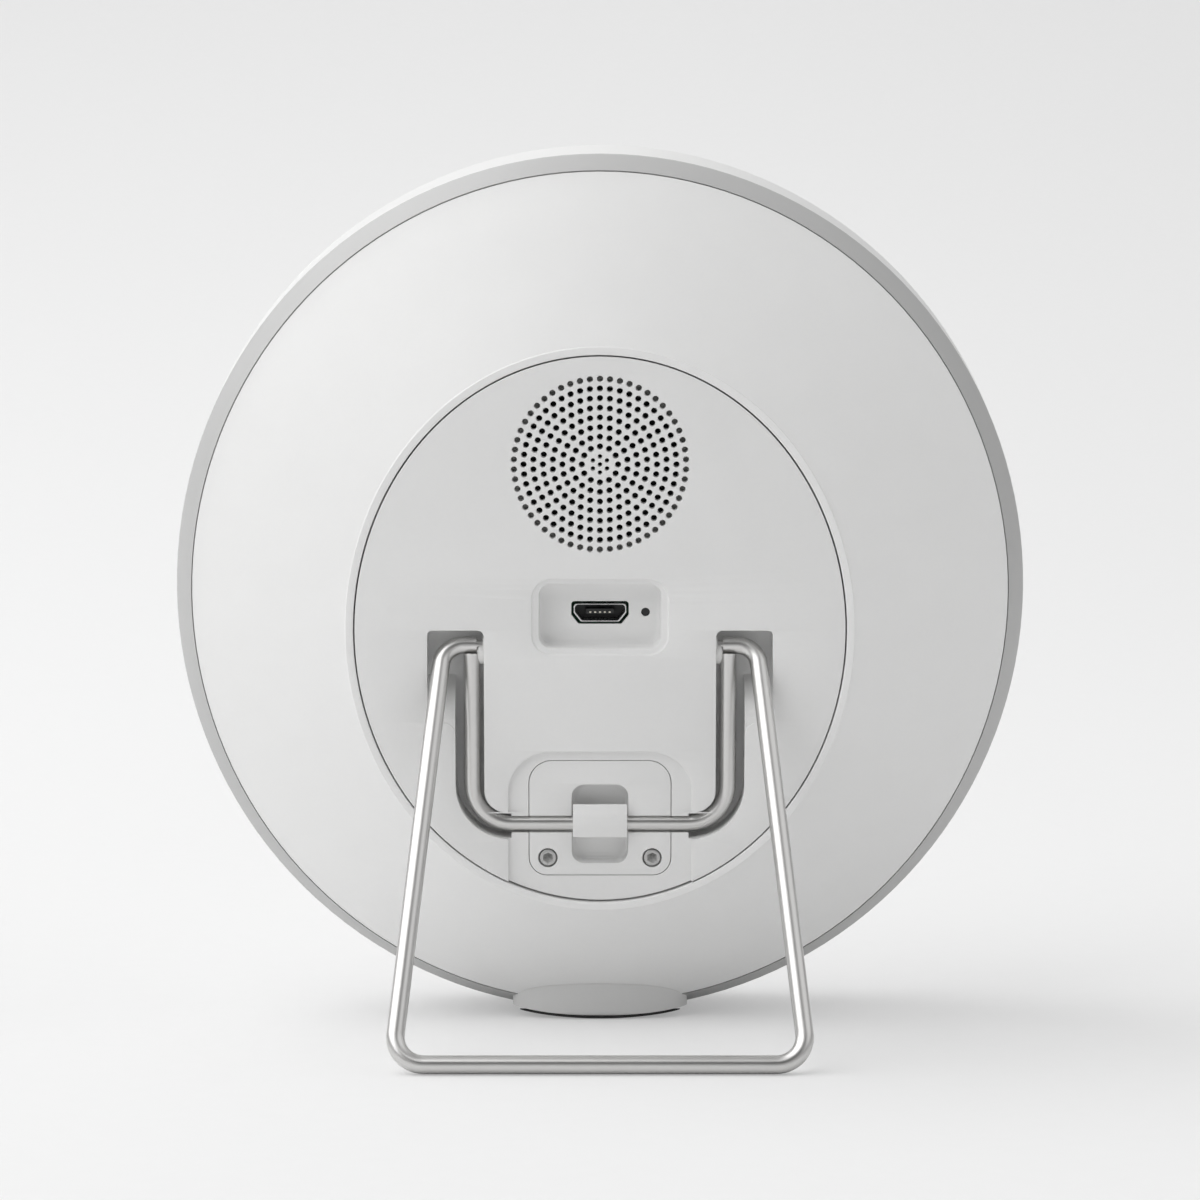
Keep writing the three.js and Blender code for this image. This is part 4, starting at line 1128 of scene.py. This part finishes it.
def footBlock(name, inset, bottom, top, edge):  # in upright millimetres
    half, reach = foot["half"] - inset, foot["round"] - inset
    middle = foot["rear"] + foot["round"]
    shoulder = math.acos((foot["round"] - foot["depth"]) / reach)
    drawing = newCurve(name, "2D")
    start = -math.pi / 2 - shoulder
    addSpline(drawing.data, ovalArc(half, reach, middle, start, 2 * shoulder, 6))
    block = plateFrom(drawing, -top, -bottom, edge, 12, 3)
    pick(block)
    block.rotation_euler = (-math.pi / 2, 0, 0)
    applyPlace()
    return block


def rockerBody(rise):  # a wide cylinder that gives the sole its slight curve
    radius = foot["rocker"]
    return roundBody("footRocker", [(5, radius), (20, radius)], 720, radius + rise)


def bodyEnvelope():
    rings = [domeRing(1 - step / dome["rings"], -0.04) for step in range(dome["rings"] + 1)]
    rings += [domeEdge(0, 0.2), rimRing(3.8, -0.05), rimRing(4.2, -0.08), rimRing(4.7, -0.05)]
    return standUp(ringBody("bodyEnvelope", rings))


def buildFoot():
    pad = footBlock("footPad", 0, foot["bottom"], foot["top"], foot["edge"])
    combine(pad, rockerBody(foot["bottom"]), "INTERSECT")
    return carve(pad, bodyEnvelope())


def buildFootSole():
    top = foot["bottom"] + foot["soleOverlap"]
    sole = footBlock("footSole", foot["soleInset"], 0, top, foot["soleEdge"])
    combine(sole, rockerBody(0), "INTERSECT")
    return carve(sole, rockerBody(foot["bottom"] - 0.02))


def settleUpright(piece):
    pick(piece)
    piece.scale = (mm, mm, mm)
    applyPlace()


footPad = tidyMesh(buildFoot())
settleUpright(footPad)
dress(footPad, "foot", "lamp_body", "cover_grey", "foot")
footSole = tidyMesh(buildFootSole())
settleUpright(footSole)
dress(footSole, "rubber", "lamp_body", "sole_rubber", "foot_sole")


innerFinishes = {  # these keep their CAD shapes
    "speaker_gasket": "foam", "speaker_cone": "black", "speaker_basket": "magnet",
    "speaker_magnet": "magnet", "main_board": "board", "reset_switch": "black",
    "reset_plunger": "black", "backup_cell": "steel", "chassis_plate": "white",
    "led_board": "board", "reflector": "opal", "display_post": "white",
    "display_board": "board", "latch_spring": "steel",
}
for screwKind in ("cover_screw", "chassis_screw"):
    for place in range(1, 5):
        innerFinishes[f"{screwKind}_{place}"] = "steel"
for node, finish in innerFinishes.items():
    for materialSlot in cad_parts[node].material_slots:
        materialSlot.material = finishes[finish]
print("inner pieces finished:", len(innerFinishes))


view = {  # distances in mm, focal length in pixels of the photo's frame
    "distance": 693.06, "pitch": 4.053, "rise": 1.267,
    "focal": 4213.8, "frame": 1200.0, "sensor": 36,
}


def buildCamera():
    pitch = math.radians(view["pitch"])
    ahead = Vector((0, math.cos(pitch), -math.sin(pitch)))
    above = Vector((0, math.sin(pitch), math.cos(pitch)))
    away = ahead * view["distance"] * mm + above * view["rise"] * mm
    place = Vector(lampPlace["origin"]) - away
    bpy.ops.object.camera_add(location=place, rotation=(math.pi / 2 - pitch, 0, 0))
    camera = bpy.context.object
    camera.data.sensor_width = view["sensor"]
    camera.data.lens = view["sensor"] * view["focal"] / view["frame"]
    camera.data.clip_start = 0.01
    bpy.context.scene.camera = camera


softboxes = {
    "leftSoftbox": {
        "place": (-1.05, -0.2, 1.3), "aim": (0, 0, 0.05), "width": 2.8, "height": 2.0, "watts": 30,
    },
    "backSoftbox": {
        "place": (-0.6, 0.7, 1.25), "aim": (-0.2, 0.25, 0), "width": 2.2, "height": 0.9, "watts": 5,
    },
    "rightSoftbox": {
        "place": (1.3, -0.2, 1.25), "aim": (0, 0, 0.05), "width": 2.2, "height": 1.5, "watts": 5.4,
    },
    "backdropLamp": {
        "place": (0, 1.3, 2.0), "aim": (0, 2.6, 0.9), "width": 3.2, "height": 0.6, "watts": 4,
    },
}


def buildSoftbox(name, place, aim, width, height, watts):
    bpy.ops.object.light_add(type="AREA", location=place)
    lamp = bpy.context.object
    lamp.name = name
    lamp.data.shape = "RECTANGLE"
    lamp.data.size = width
    lamp.data.size_y = height
    lamp.data.energy = watts
    lamp.rotation_euler = (Vector(aim) - Vector(place)).to_track_quat("-Z", "Y").to_euler()


canopy = {  # a dark card over the camera, seen in the wires
    "middle": 0.07, "half": 0.43, "low": (-1.3, 0.47), "high": (-0.86, 0.78),
}


def buildCanopy():
    (frontY, frontZ), (backY, backZ) = canopy["low"], canopy["high"]
    bpy.ops.object.select_all(action="DESELECT")
    bpy.ops.mesh.primitive_plane_add(size=2)
    card = bpy.context.object
    card.name = "studioCanopy"
    card.scale = (canopy["half"], math.hypot(backY - frontY, backZ - frontZ) / 2, 1)
    card.rotation_euler = (math.atan2(backZ - frontZ, backY - frontY), 0, 0)
    card.location = (canopy["middle"], (frontY + backY) / 2, (frontZ + backZ) / 2)
    applyPlace()
    card.data.materials.append(softRubber("canopyCloth", (0.03, 0.03, 0.03), rough=0.95))


sweep = {"front": -3.0, "back": 3.2, "bend": 2.6, "top": 3.5, "half": 4.5, "drop": 0.0001}
paperTone = {"low": (0.82,) * 3, "high": (0.84,) * 3, "veil": 0.386, "glow": (0.305,) * 3}


def buildStage():
    bow = sweep["bend"]
    start, end = Vector((sweep["front"], 0)), Vector((sweep["back"], sweep["top"]))
    entry, leave = Vector((sweep["back"] - bow, 0)), Vector((sweep["back"], bow))
    pull = bow * arcPull(math.pi / 2)
    points = [
        (start, start, start), (entry, entry, entry + Vector((pull, 0))),
        (leave, leave - Vector((0, pull)), leave), (end, end, end),
    ]
    drawing = newCurve("studioSweep", "2D")
    addSpline(drawing.data, points, False)
    drawing.data.fill_mode = "NONE"
    drawing.data.resolution_u = 24
    drawing.data.extrude = sweep["half"]
    floor = meshFrom(drawing, sideways, (0, 0, -sweep["drop"]))
    bpy.ops.object.shade_smooth()
    paper = Finish("studioPaper")
    fibres = paper.noise(4, 2)
    seen = paper.node("LightPath", output="Is Camera Ray")
    tone = paper.mixColour(fibres, paperTone["low"], paperTone["high"])
    paper.set(  # the camera sees the paper through the room's veil
        Base_Color=paper.mixColour(seen * paperTone["veil"], tone, (0, 0, 0)),
        Emission_Color=paper.mixColour(seen, (0, 0, 0), paperTone["glow"]),
        Emission_Strength=1.0,
        Roughness=0.9,
    )
    floor.data.materials.clear()
    floor.data.materials.append(paper.material)


worldStrength = 0.42


def buildWorld():
    world = bpy.data.worlds.new("studioWorld")
    bpy.context.scene.world = world
    world.use_nodes = True
    background = world.node_tree.nodes["Background"]
    background.inputs["Color"].default_value = (1, 1, 1, 1)
    background.inputs["Strength"].default_value = worldStrength


bpy.context.scene.view_settings.view_transform = "Standard"
buildCamera()
buildStage()
buildWorld()
buildCanopy()
for name, softbox in softboxes.items():
    buildSoftbox(name, **softbox)
print("stage ready")
